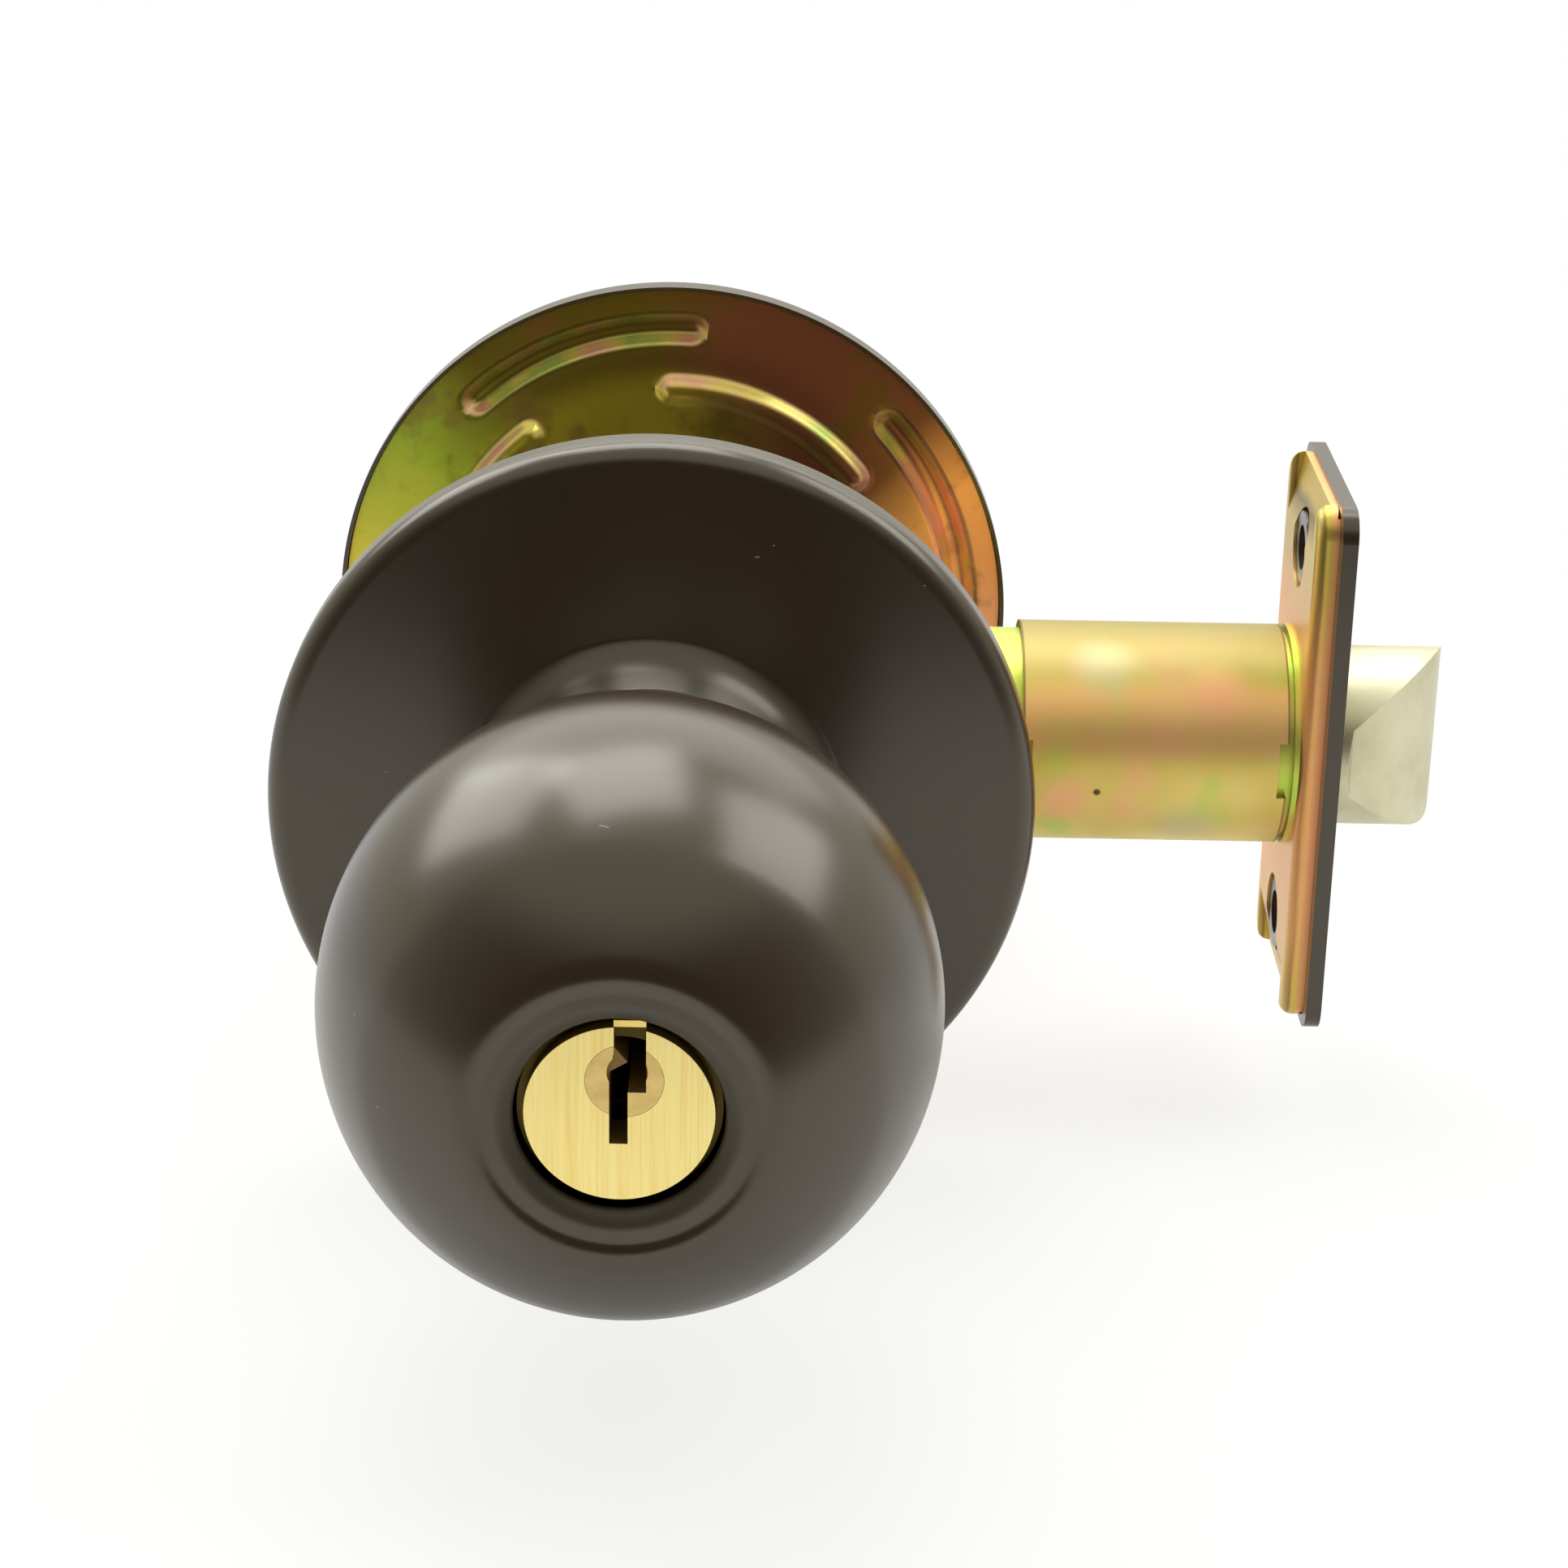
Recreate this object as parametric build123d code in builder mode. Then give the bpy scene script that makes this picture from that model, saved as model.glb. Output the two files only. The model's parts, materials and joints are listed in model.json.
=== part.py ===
from build123d import *
import os
from math import atan2, cos, radians, sin, sqrt, tan

# A ball knob lock for a bored door, as it stands with its trim loose before fitting.
# Millimetres. The knobs turn about Y, the bolt slides along X and Z is up.
# The keyed side faces -Y. The knob axis and the bolt axis cross at the origin.

# Driving sizes of the whole lock
door_thickness = 44.45
backset = 69.85
bolt_throw = 12.7
knob_radius = 27.5
knob_projection = 46.925
rose_radius = 38.1
button_travel = 3.0

# Clearances
running_fit = 0.06
seat_fit = 0.03
free_gap = 0.3

# Chassis that fills the cross bore of the door
case_radius = 25.0
case_wall = 1.6
case_half = 15.0
hub_plate = 1.6
hub_wall = 2.24
hub_stand = 4.4
hub_chamfer = 0.5
post_wall = 1.5
post_gap = 0.54
screw_radius = 2.0
screw_head_radius = 3.5
screw_head_height = 1.4
screw_head_round = 0.45
screw_tip = 8.0
screw_slot = 1.0

# Spindles and what they drive
spindle_radius = 9.3
spindle_wall = 1.9
spindle_setback = 2.0
cam_plate_radius = 13.3
cam_plate = 1.7
lug_length = 3.5
lug_thickness = 4.4
lug_tip = 13.4
lug_gap = 2.0
retractor_arm_outer = 8.5
yoke_face = 2.8
yoke_thickness = 3.0
yoke_half_height = 12.0
yoke_gap = 0.5
jaw_length = 3.2
guide_thickness = 1.2
guide_gap = 0.7
guide_tongue = 1.0
retractor_spring_radius = 2.4
retractor_spring_offset = 6.0
retractor_spring_gap = 0.45
retractor_spring_turns = 3

# Knobs
knob_wall = 1.5
neck_gap = 0.6
neck_wall = 1.57
neck_round = 0.5
liner_wall = 2.67
liner_setback = 7.55
liner_plate = 1.6
liner_plate_radius = 18.0
ball_edge_radius = 18.6
front_round = 8.35
ring_inner = 11.9
ring_drop = 0.25
lip_crest = 0.3
lip_round = 1.2
catch_setback = 9.3
catch_length = 3.0
catch_width = 4.0
catch_foot_length = 9.0
catch_foot_width = 4.4
catch_foot_depth = 6.6
catch_foot = 1.0
catch_sink = 0.2

# Key cylinder
cylinder_radius = 8.55
cylinder_setback = 2.7
plug_radius = 6.4
plug_face_radius = 7.9
plug_setback = 1.3
plug_tail_radius = 5.0
plug_tail_reach = 2.1
plug_web = 0.9
knob_hole_gap = 0.21
insert_radius = 3.25
insert_thickness = 0.8
insert_x = 0.42
insert_z = 3.03
insert_hole_radius = 1.7
insert_hole_x = 0.65
insert_hole_z = 3.8
keyway_wide_left = -0.45
keyway_wide_right = 2.2
keyway_wide_floor = 2.0
keyway_step = 5.73
keyway_ward = (0.64, 4.38)
keyway_narrow_left = -0.84
keyway_narrow_right = 0.69
keyway_narrow_top = 3.5
keyway_floor = -2.73
pin_radius = 1.45
pin_count = 5
pin_pitch = 4.0
pin_setback = 4.4
driver_length = 5.0
bible_half_width = 3.9
bible_margin = 2.2
bible_floor = 16.2
cover_thickness = 0.8
pin_spring_radius = 1.0
pin_spring_turns = 3
clip_thickness = 0.8
clip_radius = 7.2
tail_thickness = 1.5
tail_half_width = 3.0
tail_clearance = 0.5
tail_overlap = 1.5

# Locking plunger and turn button
plunger_stem = 5.5
plunger_floor = 3.0
plunger_cup_bore = 3.7
bar_radius = 2.2
bar_end = 11.7
button_radius = 4.5
button_stand = 7.0
button_length = 18.6
button_blade = 2.6
button_blade_height = 4.6
button_round = 0.5
sleeve_radius = 6.7
sleeve_stand = 1.3
sleeve_length = 11.9
sleeve_edge_round = 0.4
sleeve_flange_radius = 8.2
sleeve_flange = 0.8
button_spring_radius = 3.6
button_spring_turns = 8

# Roses and the ribbed mounting plate
rose_wall = 0.8
rose_rim_height = 4.3
rose_rim_round = 2.2
rose_face_rise = 0.9
collar_wall = 1.1
collar_flare = 3.5
collar_height = 9.1
collar_inner_rise = 0.8
collar_fit = 0.3
trim_gap = 0.1
rose_liner_setback = 0.6
rose_liner_plate = 1.2
rose_liner_boss = 2.5
rose_liner_boss_height = 4.2
plate_setback = 1.1
plate_thickness = 1.2
plate_edge_gap = 0.1
rib_section = 1.9
rib_depth = 0.9
rib_count = 4
rib_backing = 0.2
groove_inset = 5.1
groove_span = 46.0
groove_angle = 19.5
ridge_inset = 11.9
ridge_span = 52.0
ridge_angle = 64.5

# Latch
latch_tube_wall = 0.8
latch_tube_start = 24.2
latch_slack = 0.45
sleeve_wall = 0.8
latch_sleeve_start = 37.6
latch_sleeve_gap = 1.1
notch_depth = 1.0
notch_width = 6.0
tube_flange = 0.55
tube_flange_width = 0.9
prong_depth = 5.0
prong_width = 7.0
face_width = 28.575
face_height = 57.15
face_thickness = 1.6
face_corner = 3.0
face_screw_inset = 7.935
face_screw_hole = 2.35
face_screw_sink = 4.2
dimple_radius = 3.8
dimple_depth = 1.9
dimple_gap = 0.4
pan_width = 24.0
pan_end_inset = 0.35
pan_corner = 3.0
pan_depth = 2.2
pan_thickness = 0.8
pan_round = 1.4
pan_ramp = 6.4
pan_lobe = 2.6
bolt_radius = 9.45
bolt_hole_gap = 0.25
bolt_flat = 4.3
bolt_length = 36.75
bevel_middle = (9.8, -2.9)
bevel_end = (2.0, -8.7)
bevel_root = (1.0, -10.5)
deadlatch_throw = 9.8
deadlatch_lead = 4.2
deadlatch_nose = 4.0
deadlatch_land = 1.0
latch_tail_half_thickness = 0.8
latch_tail_half_width = 2.6
tail_neck_half = 1.9
tail_head_half = 3.3
tail_head_start = 15.2
tail_head = 2.1
tail_neck = 4.2
tail_insert = 5.6
tail_pin_radius = 1.25
tail_pin_setback = 3.2
tail_guide_start = 25.5
tail_guide = 1.5
tail_slot_gap = 0.3
bolt_spring_radius = 4.1
bolt_spring_turns = 6
deadlatch_spring_radius = 1.5
deadlatch_spring_offset = 7.2
deadlatch_spring_turns = 12
wire_radius = 0.4

# Chassis, spindles and retractor, worked out from the sizes above
door_face = door_thickness / 2
hub_bore = spindle_radius + running_fit
hub_radius = hub_bore + hub_wall
hub_reach = door_face + hub_stand
case_bore = case_radius - case_wall
screw_bore = screw_radius + running_fit
post_radius = screw_bore + post_wall
post_offset = lug_tip + post_gap + post_radius
spindle_bore = spindle_radius - spindle_wall
cam_face = case_half - free_gap
lug_root = cam_face - cam_plate
lug_front = lug_root - lug_length
yoke_reach = lug_root - yoke_gap
yoke_back = yoke_face + yoke_thickness
jaw_half_gap = tail_neck_half + free_gap
retractor_slot_half = tail_head_half + free_gap
retractor_half_width = lug_front - lug_gap
retractor_front = tail_head_start + tail_head + free_gap + jaw_length
guide_top = retractor_arm_outer + free_gap + guide_thickness
guide_end = sqrt((case_bore - guide_gap) ** 2 - guide_top ** 2)
retractor_spring_top = retractor_spring_offset + retractor_spring_radius + wire_radius
retractor_spring_end = sqrt((case_bore - retractor_spring_gap) ** 2 - retractor_spring_top ** 2)

# Knobs and roses, worked out from the sizes above
knob_centre = door_face + knob_projection
liner_bore = spindle_radius + seat_fit
liner_radius = liner_bore + liner_wall
liner_reach = knob_centre - liner_setback
spindle_reach = liner_reach - liner_plate - spindle_setback
neck_bore = liner_radius + seat_fit
neck_radius = neck_bore + neck_wall
neck_end = hub_reach + neck_gap
catch_place = neck_end + catch_setback
ball_bore = knob_radius - knob_wall
ball_edge = sqrt(knob_radius ** 2 - ball_edge_radius ** 2)
front_face = knob_centre + ball_edge + front_round * (1 - ball_edge / knob_radius)
front_inner = front_face - knob_wall
ring_outer = ball_edge_radius * (1 - front_round / knob_radius)
neck_meets_ball = knob_centre - sqrt(knob_radius ** 2 - neck_radius ** 2)
bore_meets_ball = knob_centre - sqrt(ball_bore ** 2 - neck_bore ** 2)
front_inner_radius = sqrt(ball_bore ** 2 - (front_inner - knob_centre) ** 2)
collar_bore = neck_radius + collar_fit
collar_radius = collar_bore + collar_wall
rose_face_inner = collar_radius + collar_flare
inside_rim = neck_meets_ball - neck_round - trim_gap - collar_height
plate_face = inside_rim + plate_setback
groove_radius = rose_radius - groove_inset
ridge_radius = rose_radius - ridge_inset

# Key cylinder, plunger and button, worked out from the sizes above
cylinder_back = liner_reach
cylinder_front = front_face - cylinder_setback
plug_face = front_face - plug_setback
knob_hole = cylinder_radius + knob_hole_gap
first_pin = cylinder_front - pin_setback
pin_places = [first_pin - pin_pitch * number for number in range(pin_count)]
pin_x = (keyway_narrow_left + keyway_narrow_right) / 2
bible_front = first_pin + bible_margin
bible_back = pin_places[-1] - bible_margin
plunger_cup_back = bar_end + free_gap + plunger_stem
plunger_cup_floor = plunger_cup_back + plunger_floor
tail_end = plunger_cup_floor + button_travel + tail_clearance
plunger_cup_front = tail_end + tail_overlap
button_tip = front_face + button_stand
button_back = button_tip - button_length
sleeve_front = front_face + sleeve_stand
sleeve_back = sleeve_front - sleeve_length

# Latch, worked out from the sizes above
latch_bore = bolt_radius + latch_slack
latch_tube_radius = latch_bore + latch_tube_wall
face_front = backset
face_back = face_front - face_thickness
face_screw_spacing = face_height - 2 * face_screw_inset
pan_back = face_back - pan_depth
pan_hole = dimple_radius + dimple_gap
latch_sleeve_end = pan_back - latch_sleeve_gap
bolt_hole = bolt_radius + bolt_hole_gap
bolt_tip = face_front + bolt_throw
bolt_rear = bolt_tip - bolt_length
deadlatch_flat = bolt_flat + free_gap
deadlatch_tip = face_front + deadlatch_throw
deadlatch_rear = bolt_rear + deadlatch_lead
tail_pin_place = bolt_rear + tail_pin_setback
tail_neck_end = tail_head_start + tail_head + tail_neck

places = {"outside": -1, "inside": 1}

os.makedirs("parts", exist_ok=True)


def side_plane(side):
    # Local x is the radius and local y the distance from the chassis centre outwards.
    return Plane(origin=(0, 0, 0), x_dir=(1, 0, 0), z_dir=(0, 0, side))


def cross_plane(y):
    # Seen from the keyed side: local x is X, local y is Z, and the normal points to -Y.
    return Plane.XZ.offset(-y)


def band(inner, outer, start, stop):
    with Locations(((inner + outer) / 2, (start + stop) / 2)):
        Rectangle(outer - inner, stop - start)


def coil(start, direction, length, radius, turns):
    # A compression spring whose ends lie one wire radius inside its length.
    base = Vector(*start) + Vector(*direction) * wire_radius
    height = length - 2 * wire_radius
    with BuildLine() as path:
        Helix(pitch=height / turns, height=height, radius=radius, center=base, direction=direction)
    with BuildSketch(Plane(origin=path.line @ 0, z_dir=path.line % 0)) as wire:
        Circle(wire_radius)
    sweep(sections=wire.sketch, path=path.line)


# Case: the drum that holds the spindles and the retractor, open towards the latch
with BuildPart() as chassis_case:
    with BuildSketch(side_plane(1)):
        band(case_bore, case_radius, -case_half, case_half)
    revolve(axis=Axis.Y)
    window = 2 * (latch_tube_radius + free_gap)
    with Locations((case_radius, 0, 0)):
        Box(case_radius, window, window, mode=Mode.SUBTRACT)
chassis_case.part.label = "chassis_case"
export_step(chassis_case.part, "parts/chassis_case.step")

# Hubs: end plates of the case with the threaded tubes that the spindles turn in
for place, side in places.items():
    with BuildPart() as hub:
        with BuildSketch(side_plane(side)):
            band(hub_bore, case_radius, case_half, case_half + hub_plate)
            band(hub_bore, hub_radius, case_half, hub_reach)
        revolve(axis=Axis.Y)
        tube_end = hub.edges().filter_by(GeomType.CIRCLE).group_by(Axis.Y)[0 if side < 0 else -1]
        chamfer(tube_end, hub_chamfer)
        if place == "outside":
            with BuildSketch(cross_plane(-case_half)):
                with GridLocations(0, 2 * post_offset, 1, 2):
                    Circle(post_radius)
                    Circle(screw_bore, mode=Mode.SUBTRACT)
            extrude(amount=-(2 * case_half - free_gap))
        else:
            with BuildSketch(cross_plane(case_half)):
                with GridLocations(0, 2 * post_offset, 1, 2):
                    Circle(screw_radius + free_gap)
            extrude(amount=-hub_plate, mode=Mode.SUBTRACT)
    hub.part.label = f"{place}_hub"
    export_step(hub.part, f"parts/{place}_hub.step")

# Retractor guides: two tongued plates between the hubs, above and below the retractor
with BuildPart() as retractor_guides:
    guide_root = sqrt((lug_tip + 2 * free_gap) ** 2 - retractor_arm_outer ** 2)
    with BuildSketch(Plane.XY.offset(retractor_arm_outer + free_gap)):
        with Locations(((guide_root + guide_end) / 2, 0)):
            Rectangle(guide_end - guide_root, 2 * case_half)
        with Locations(((guide_root - guide_tongue) / 2, 0)):
            Rectangle(guide_root + guide_tongue, 2 * retractor_half_width)
    extrude(amount=guide_thickness)
    mirror(about=Plane.XY)
retractor_guides.part.label = "retractor_guides"
export_step(retractor_guides.part, "parts/retractor_guides.step")

# Retractor: two arms with jaws for the latch tail, and a yoke that the outside lugs push
with BuildPart() as retractor:
    arm_height = retractor_arm_outer - retractor_slot_half
    jaw_height = retractor_arm_outer - jaw_half_gap
    with BuildSketch(cross_plane(-retractor_half_width)):
        for end in (-1, 1):
            with Locations(((retractor_front - yoke_face) / 2, end * (retractor_slot_half + arm_height / 2))):
                Rectangle(retractor_front + yoke_face, arm_height)
            with Locations((retractor_front - jaw_length / 2, end * (jaw_half_gap + jaw_height / 2))):
                Rectangle(jaw_length, jaw_height)
    extrude(amount=-2 * retractor_half_width)
    with BuildSketch(cross_plane(-yoke_reach)):
        with Locations((-yoke_face - yoke_thickness / 2, 0)):
            Rectangle(yoke_thickness, 2 * yoke_half_height)
    extrude(amount=-(yoke_reach + retractor_half_width))
retractor.part.label = "retractor"
export_step(retractor.part, "parts/retractor.step")

# Retractor springs, between the yoke and the back of the case
with BuildPart() as retractor_springs:
    for end in (-1, 1):
        spring_start = (-retractor_spring_end, 0, end * retractor_spring_offset)
        spring_length = retractor_spring_end - yoke_back
        coil(spring_start, (1, 0, 0), spring_length, retractor_spring_radius, retractor_spring_turns)
retractor_springs.part.label = "retractor_springs"
export_step(retractor_springs.part, "parts/retractor_springs.step")

# Spindles: tubes that carry the knobs, each with a cam plate and two lugs inside the case
for place, side in places.items():
    with BuildPart() as spindle:
        with BuildSketch(side_plane(side)):
            band(spindle_bore, spindle_radius, lug_root, spindle_reach)
            band(spindle_bore, cam_plate_radius, lug_root, cam_face)
        revolve(axis=Axis.Y)
        lug_place = side * (lug_root + lug_front) / 2
        for end in (-1, 1):
            with Locations((0, lug_place, end * (spindle_bore + lug_tip) / 2)):
                Box(lug_thickness, lug_length, lug_tip - spindle_bore)
        with Locations((0, side * catch_place, -spindle_radius)):
            Box(catch_width + 2 * free_gap, catch_length + 2 * free_gap, spindle_radius, mode=Mode.SUBTRACT)
    spindle.part.label = f"{place}_spindle"
    export_step(spindle.part, f"parts/{place}_spindle.step")

# Knob liners: sleeves pressed into the knob necks, with a plate inside the ball
for place, side in places.items():
    plate_bore = liner_bore if place == "outside" else bar_radius + free_gap
    with BuildPart() as liner:
        with BuildSketch(side_plane(side)):
            band(liner_bore, liner_radius, neck_end, liner_reach - liner_plate)
            band(plate_bore, liner_plate_radius, liner_reach - liner_plate, liner_reach)
        revolve(axis=Axis.Y)
        with Locations((0, side * catch_place, -liner_radius)):
            Box(catch_width + 2 * free_gap, catch_length + 2 * free_gap, liner_radius, mode=Mode.SUBTRACT)
    liner.part.label = f"{place}_knob_liner"
    export_step(liner.part, f"parts/{place}_knob_liner.step")

# Knobs: hollow balls on a neck, with a rolled ring round the hole in the front
hole_radii = {"outside": knob_hole, "inside": sleeve_radius + running_fit}
for place, side in places.items():
    hole = hole_radii[place]
    lip_start = hole + lip_round
    with BuildPart() as knob:
        with BuildSketch(side_plane(side)):
            with BuildLine():
                neck = Polyline((0, neck_end), (neck_radius, neck_end), (neck_radius, neck_meets_ball))
                ball = ThreePointArc(
                    neck @ 1, (knob_radius, knob_centre), (ball_edge_radius, knob_centre + ball_edge)
                )
                roll = TangentArc(ball @ 1, (ring_outer, front_face), tangent=ball % 1)
                valley = ((ring_outer + ring_inner) / 2, front_face - ring_drop)
                ThreePointArc(roll @ 1, valley, (ring_inner, front_face))
                crest = ((ring_inner + lip_start) / 2, front_face + lip_crest)
                ThreePointArc((ring_inner, front_face), crest, (lip_start, front_face))
                lip_middle = (hole + lip_round * (1 - sqrt(0.5)), front_face - lip_round * (1 - sqrt(0.5)))
                ThreePointArc((lip_start, front_face), lip_middle, (hole, front_face - lip_round))
                Polyline((hole, front_face - lip_round), (hole, knob_centre), (0, knob_centre), (0, neck_end))
            make_face()
        revolve(axis=Axis.Y)
        junction = knob.edges().filter_by(GeomType.CIRCLE).sort_by(
            lambda edge: abs(edge.radius - neck_radius) + abs(abs(edge.arc_center.Y) - neck_meets_ball)
        )[0]
        fillet(junction, neck_round)
        with BuildSketch(side_plane(side)):
            with BuildLine():
                bore = Polyline((0, neck_end), (neck_bore, neck_end), (neck_bore, bore_meets_ball))
                shell = ThreePointArc(bore @ 1, (ball_bore, knob_centre), (front_inner_radius, front_inner))
                Polyline(shell @ 1, (0, front_inner), (0, neck_end))
            make_face()
        revolve(axis=Axis.Y, mode=Mode.SUBTRACT)
        with Locations((0, side * catch_place, -neck_radius)):
            Box(catch_width + 2 * free_gap, catch_length + 2 * free_gap, neck_radius, mode=Mode.SUBTRACT)
    knob.part.label = f"{place}_knob"
    export_step(knob.part, f"parts/{place}_knob.step")

# Knob catches: a tab through the spindle and the neck, on a foot inside the spindle
for place, side in places.items():
    with BuildPart() as catch:
        tab_tip = neck_radius - catch_sink
        with Locations((0, side * catch_place, -(tab_tip + catch_foot_depth - catch_foot) / 2)):
            Box(catch_width, catch_length, tab_tip - catch_foot_depth + catch_foot)
        with Locations((0, side * catch_place, -catch_foot_depth + catch_foot / 2)):
            Box(catch_foot_width, catch_foot_length, catch_foot)
    catch.part.label = f"{place}_knob_catch"
    export_step(catch.part, f"parts/{place}_knob_catch.step")

# Key cylinder: the body that sits in the outside knob, with the pin housing below it
pin_bore = pin_radius + running_fit
plug_bore = plug_radius + running_fit
with BuildPart() as cylinder_body:
    with BuildSketch(side_plane(-1)):
        band(0, cylinder_radius, cylinder_back, cylinder_front)
    revolve(axis=Axis.Y)
    with BuildSketch(cross_plane(-bible_back)):
        with Locations((pin_x, -bible_floor / 2)):
            Rectangle(2 * bible_half_width, bible_floor)
    extrude(amount=bible_front - bible_back)
    with BuildSketch(side_plane(-1)):
        band(0, plug_bore, cylinder_back, cylinder_front)
    revolve(axis=Axis.Y, mode=Mode.SUBTRACT)
    with BuildSketch(Plane.XY.offset(-bible_floor)):
        with Locations(*[(pin_x, -pin_place) for pin_place in pin_places]):
            Circle(pin_bore)
    extrude(amount=bible_floor, mode=Mode.SUBTRACT)
    with BuildSketch(cross_plane(-cylinder_front)):
        stop_inner = plug_face_radius + running_fit
        with Locations(((keyway_wide_left + keyway_wide_right) / 2, (stop_inner + cylinder_radius) / 2)):
            Rectangle(keyway_wide_right - keyway_wide_left, cylinder_radius - stop_inner)
    extrude(amount=plug_face - cylinder_front)
cylinder_body.part.label = "cylinder_body"
export_step(cylinder_body.part, "parts/cylinder_body.step")

# Pin cover: the strip that closes the pin holes
with BuildPart() as pin_cover:
    with BuildSketch(Plane.XY.offset(-bible_floor - cover_thickness)):
        with Locations((pin_x, -(bible_front + bible_back) / 2)):
            Rectangle(2 * bible_half_width, bible_front - bible_back)
    extrude(amount=cover_thickness)
pin_cover.part.label = "pin_cover"
export_step(pin_cover.part, "parts/pin_cover.step")

# Plug: turns in the cylinder body, with a stepped keyway open at the top of its face
keyway_outline = [
    (keyway_wide_left, cylinder_radius),
    (keyway_wide_left, keyway_step),
    keyway_ward,
    (keyway_narrow_left, keyway_narrow_top),
    (keyway_narrow_left, keyway_floor),
    (keyway_narrow_right, keyway_floor),
    (keyway_narrow_right, keyway_wide_floor),
    (keyway_wide_right, keyway_wide_floor),
    (keyway_wide_right, cylinder_radius),
]
keyway_plain = [point for point in keyway_outline if point != keyway_ward]
plug_back = cylinder_back + plug_web
with BuildPart() as key_plug:
    with BuildSketch(side_plane(-1)):
        band(0, plug_tail_radius, cylinder_back - plug_tail_reach, cylinder_back)
        band(0, plug_radius, cylinder_back, cylinder_front + running_fit)
        band(0, plug_face_radius, cylinder_front + running_fit, plug_face)
    revolve(axis=Axis.Y)
    with BuildSketch(cross_plane(-plug_back)):
        Polygon(*keyway_outline, align=None)
    extrude(amount=plug_face - plug_back, mode=Mode.SUBTRACT)
    with BuildSketch(cross_plane(-plug_face)):
        with Locations((insert_x, insert_z)):
            Circle(insert_radius + seat_fit)
    extrude(amount=-insert_thickness, mode=Mode.SUBTRACT)
    with BuildSketch(Plane.XY.offset(-plug_radius)):
        with Locations(*[(pin_x, -pin_place) for pin_place in pin_places]):
            Circle(pin_bore)
    extrude(amount=plug_radius + keyway_floor, mode=Mode.SUBTRACT)
key_plug.part.label = "key_plug"
export_step(key_plug.part, "parts/key_plug.step")

# Plug insert: the plain steel disc in the plug face, cut through by the keyway
with BuildPart() as plug_insert:
    with BuildSketch(cross_plane(-plug_face)):
        with Locations((insert_x, insert_z)):
            Circle(insert_radius)
        with Locations((insert_hole_x, insert_hole_z)):
            Circle(insert_hole_radius, mode=Mode.SUBTRACT)
        Polygon(*keyway_plain, align=None, mode=Mode.SUBTRACT)
    extrude(amount=-insert_thickness)
plug_insert.part.label = "plug_insert"
export_step(plug_insert.part, "parts/plug_insert.step")

# Pins: the bottom pins turn with the plug and the drivers stay in the housing
bottom_pin_end = sqrt(plug_radius ** 2 - (pin_radius - pin_x) ** 2) - running_fit
driver_top = plug_bore + running_fit
driver_end = driver_top + driver_length
with BuildPart() as bottom_pins:
    with BuildSketch(Plane.XY.offset(-bottom_pin_end)):
        with Locations(*[(pin_x, -pin_place) for pin_place in pin_places]):
            Circle(pin_radius)
    extrude(amount=bottom_pin_end + keyway_floor)
bottom_pins.part.label = "bottom_pins"
export_step(bottom_pins.part, "parts/bottom_pins.step")

with BuildPart() as driver_pins:
    with BuildSketch(Plane.XY.offset(-driver_end)):
        with Locations(*[(pin_x, -pin_place) for pin_place in pin_places]):
            Circle(pin_radius)
    extrude(amount=driver_length)
driver_pins.part.label = "driver_pins"
export_step(driver_pins.part, "parts/driver_pins.step")

with BuildPart() as pin_springs:
    pin_spring_length = bible_floor - driver_end
    for pin_place in pin_places:
        pin_floor = (pin_x, -pin_place, -bible_floor)
        coil(pin_floor, (0, 0, 1), pin_spring_length, pin_spring_radius, pin_spring_turns)
pin_springs.part.label = "pin_springs"
export_step(pin_springs.part, "parts/pin_springs.step")

# Plug clip: the ring that keeps the plug in the cylinder body
with BuildPart() as plug_clip:
    with BuildSketch(side_plane(-1)):
        clip_front = cylinder_back - free_gap
        band(plug_tail_radius + seat_fit, clip_radius, clip_front - clip_thickness, clip_front)
    revolve(axis=Axis.Y)
plug_clip.part.label = "plug_clip"
export_step(plug_clip.part, "parts/plug_clip.step")

# Tailpiece: the flat bar that the plug turns, reaching into the locking plunger
with BuildPart() as tailpiece:
    with BuildSketch(cross_plane(-tail_end)):
        Rectangle(tail_thickness, 2 * tail_half_width)
    extrude(amount=cylinder_back - plug_tail_reach - tail_end)
tailpiece.part.label = "tailpiece"
export_step(tailpiece.part, "parts/tailpiece.step")

# Locking plunger: a cup that slides in the outside spindle, pushed by the button bar
with BuildPart() as locking_plunger:
    with BuildSketch(side_plane(-1)):
        band(0, spindle_bore - running_fit, plunger_cup_back, plunger_cup_floor)
        band(plunger_cup_bore, spindle_bore - running_fit, plunger_cup_floor, plunger_cup_front)
        band(0, bar_radius, bar_end + free_gap, plunger_cup_back)
    revolve(axis=Axis.Y)
locking_plunger.part.label = "locking_plunger"
export_step(locking_plunger.part, "parts/locking_plunger.step")

# Turn button: a round button with a grip blade, in a bush in the inside knob
with BuildPart() as turn_button:
    with BuildSketch(side_plane(1)):
        band(0, button_radius, button_back, button_tip)
    revolve(axis=Axis.Y)
    for end in (-1, 1):
        with Locations((end * (button_radius + button_blade) / 2, button_tip - button_blade_height / 2, 0)):
            Box(button_radius, button_blade_height, 2 * button_radius, mode=Mode.SUBTRACT)
    fillet(turn_button.faces().sort_by(Axis.Y)[-1].edges(), button_round)
turn_button.part.label = "turn_button"
export_step(turn_button.part, "parts/turn_button.step")

with BuildPart() as button_bar:
    with BuildSketch(cross_plane(-bar_end)):
        Circle(bar_radius)
    extrude(amount=-(button_back + bar_end))
button_bar.part.label = "button_bar"
export_step(button_bar.part, "parts/button_bar.step")

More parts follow.
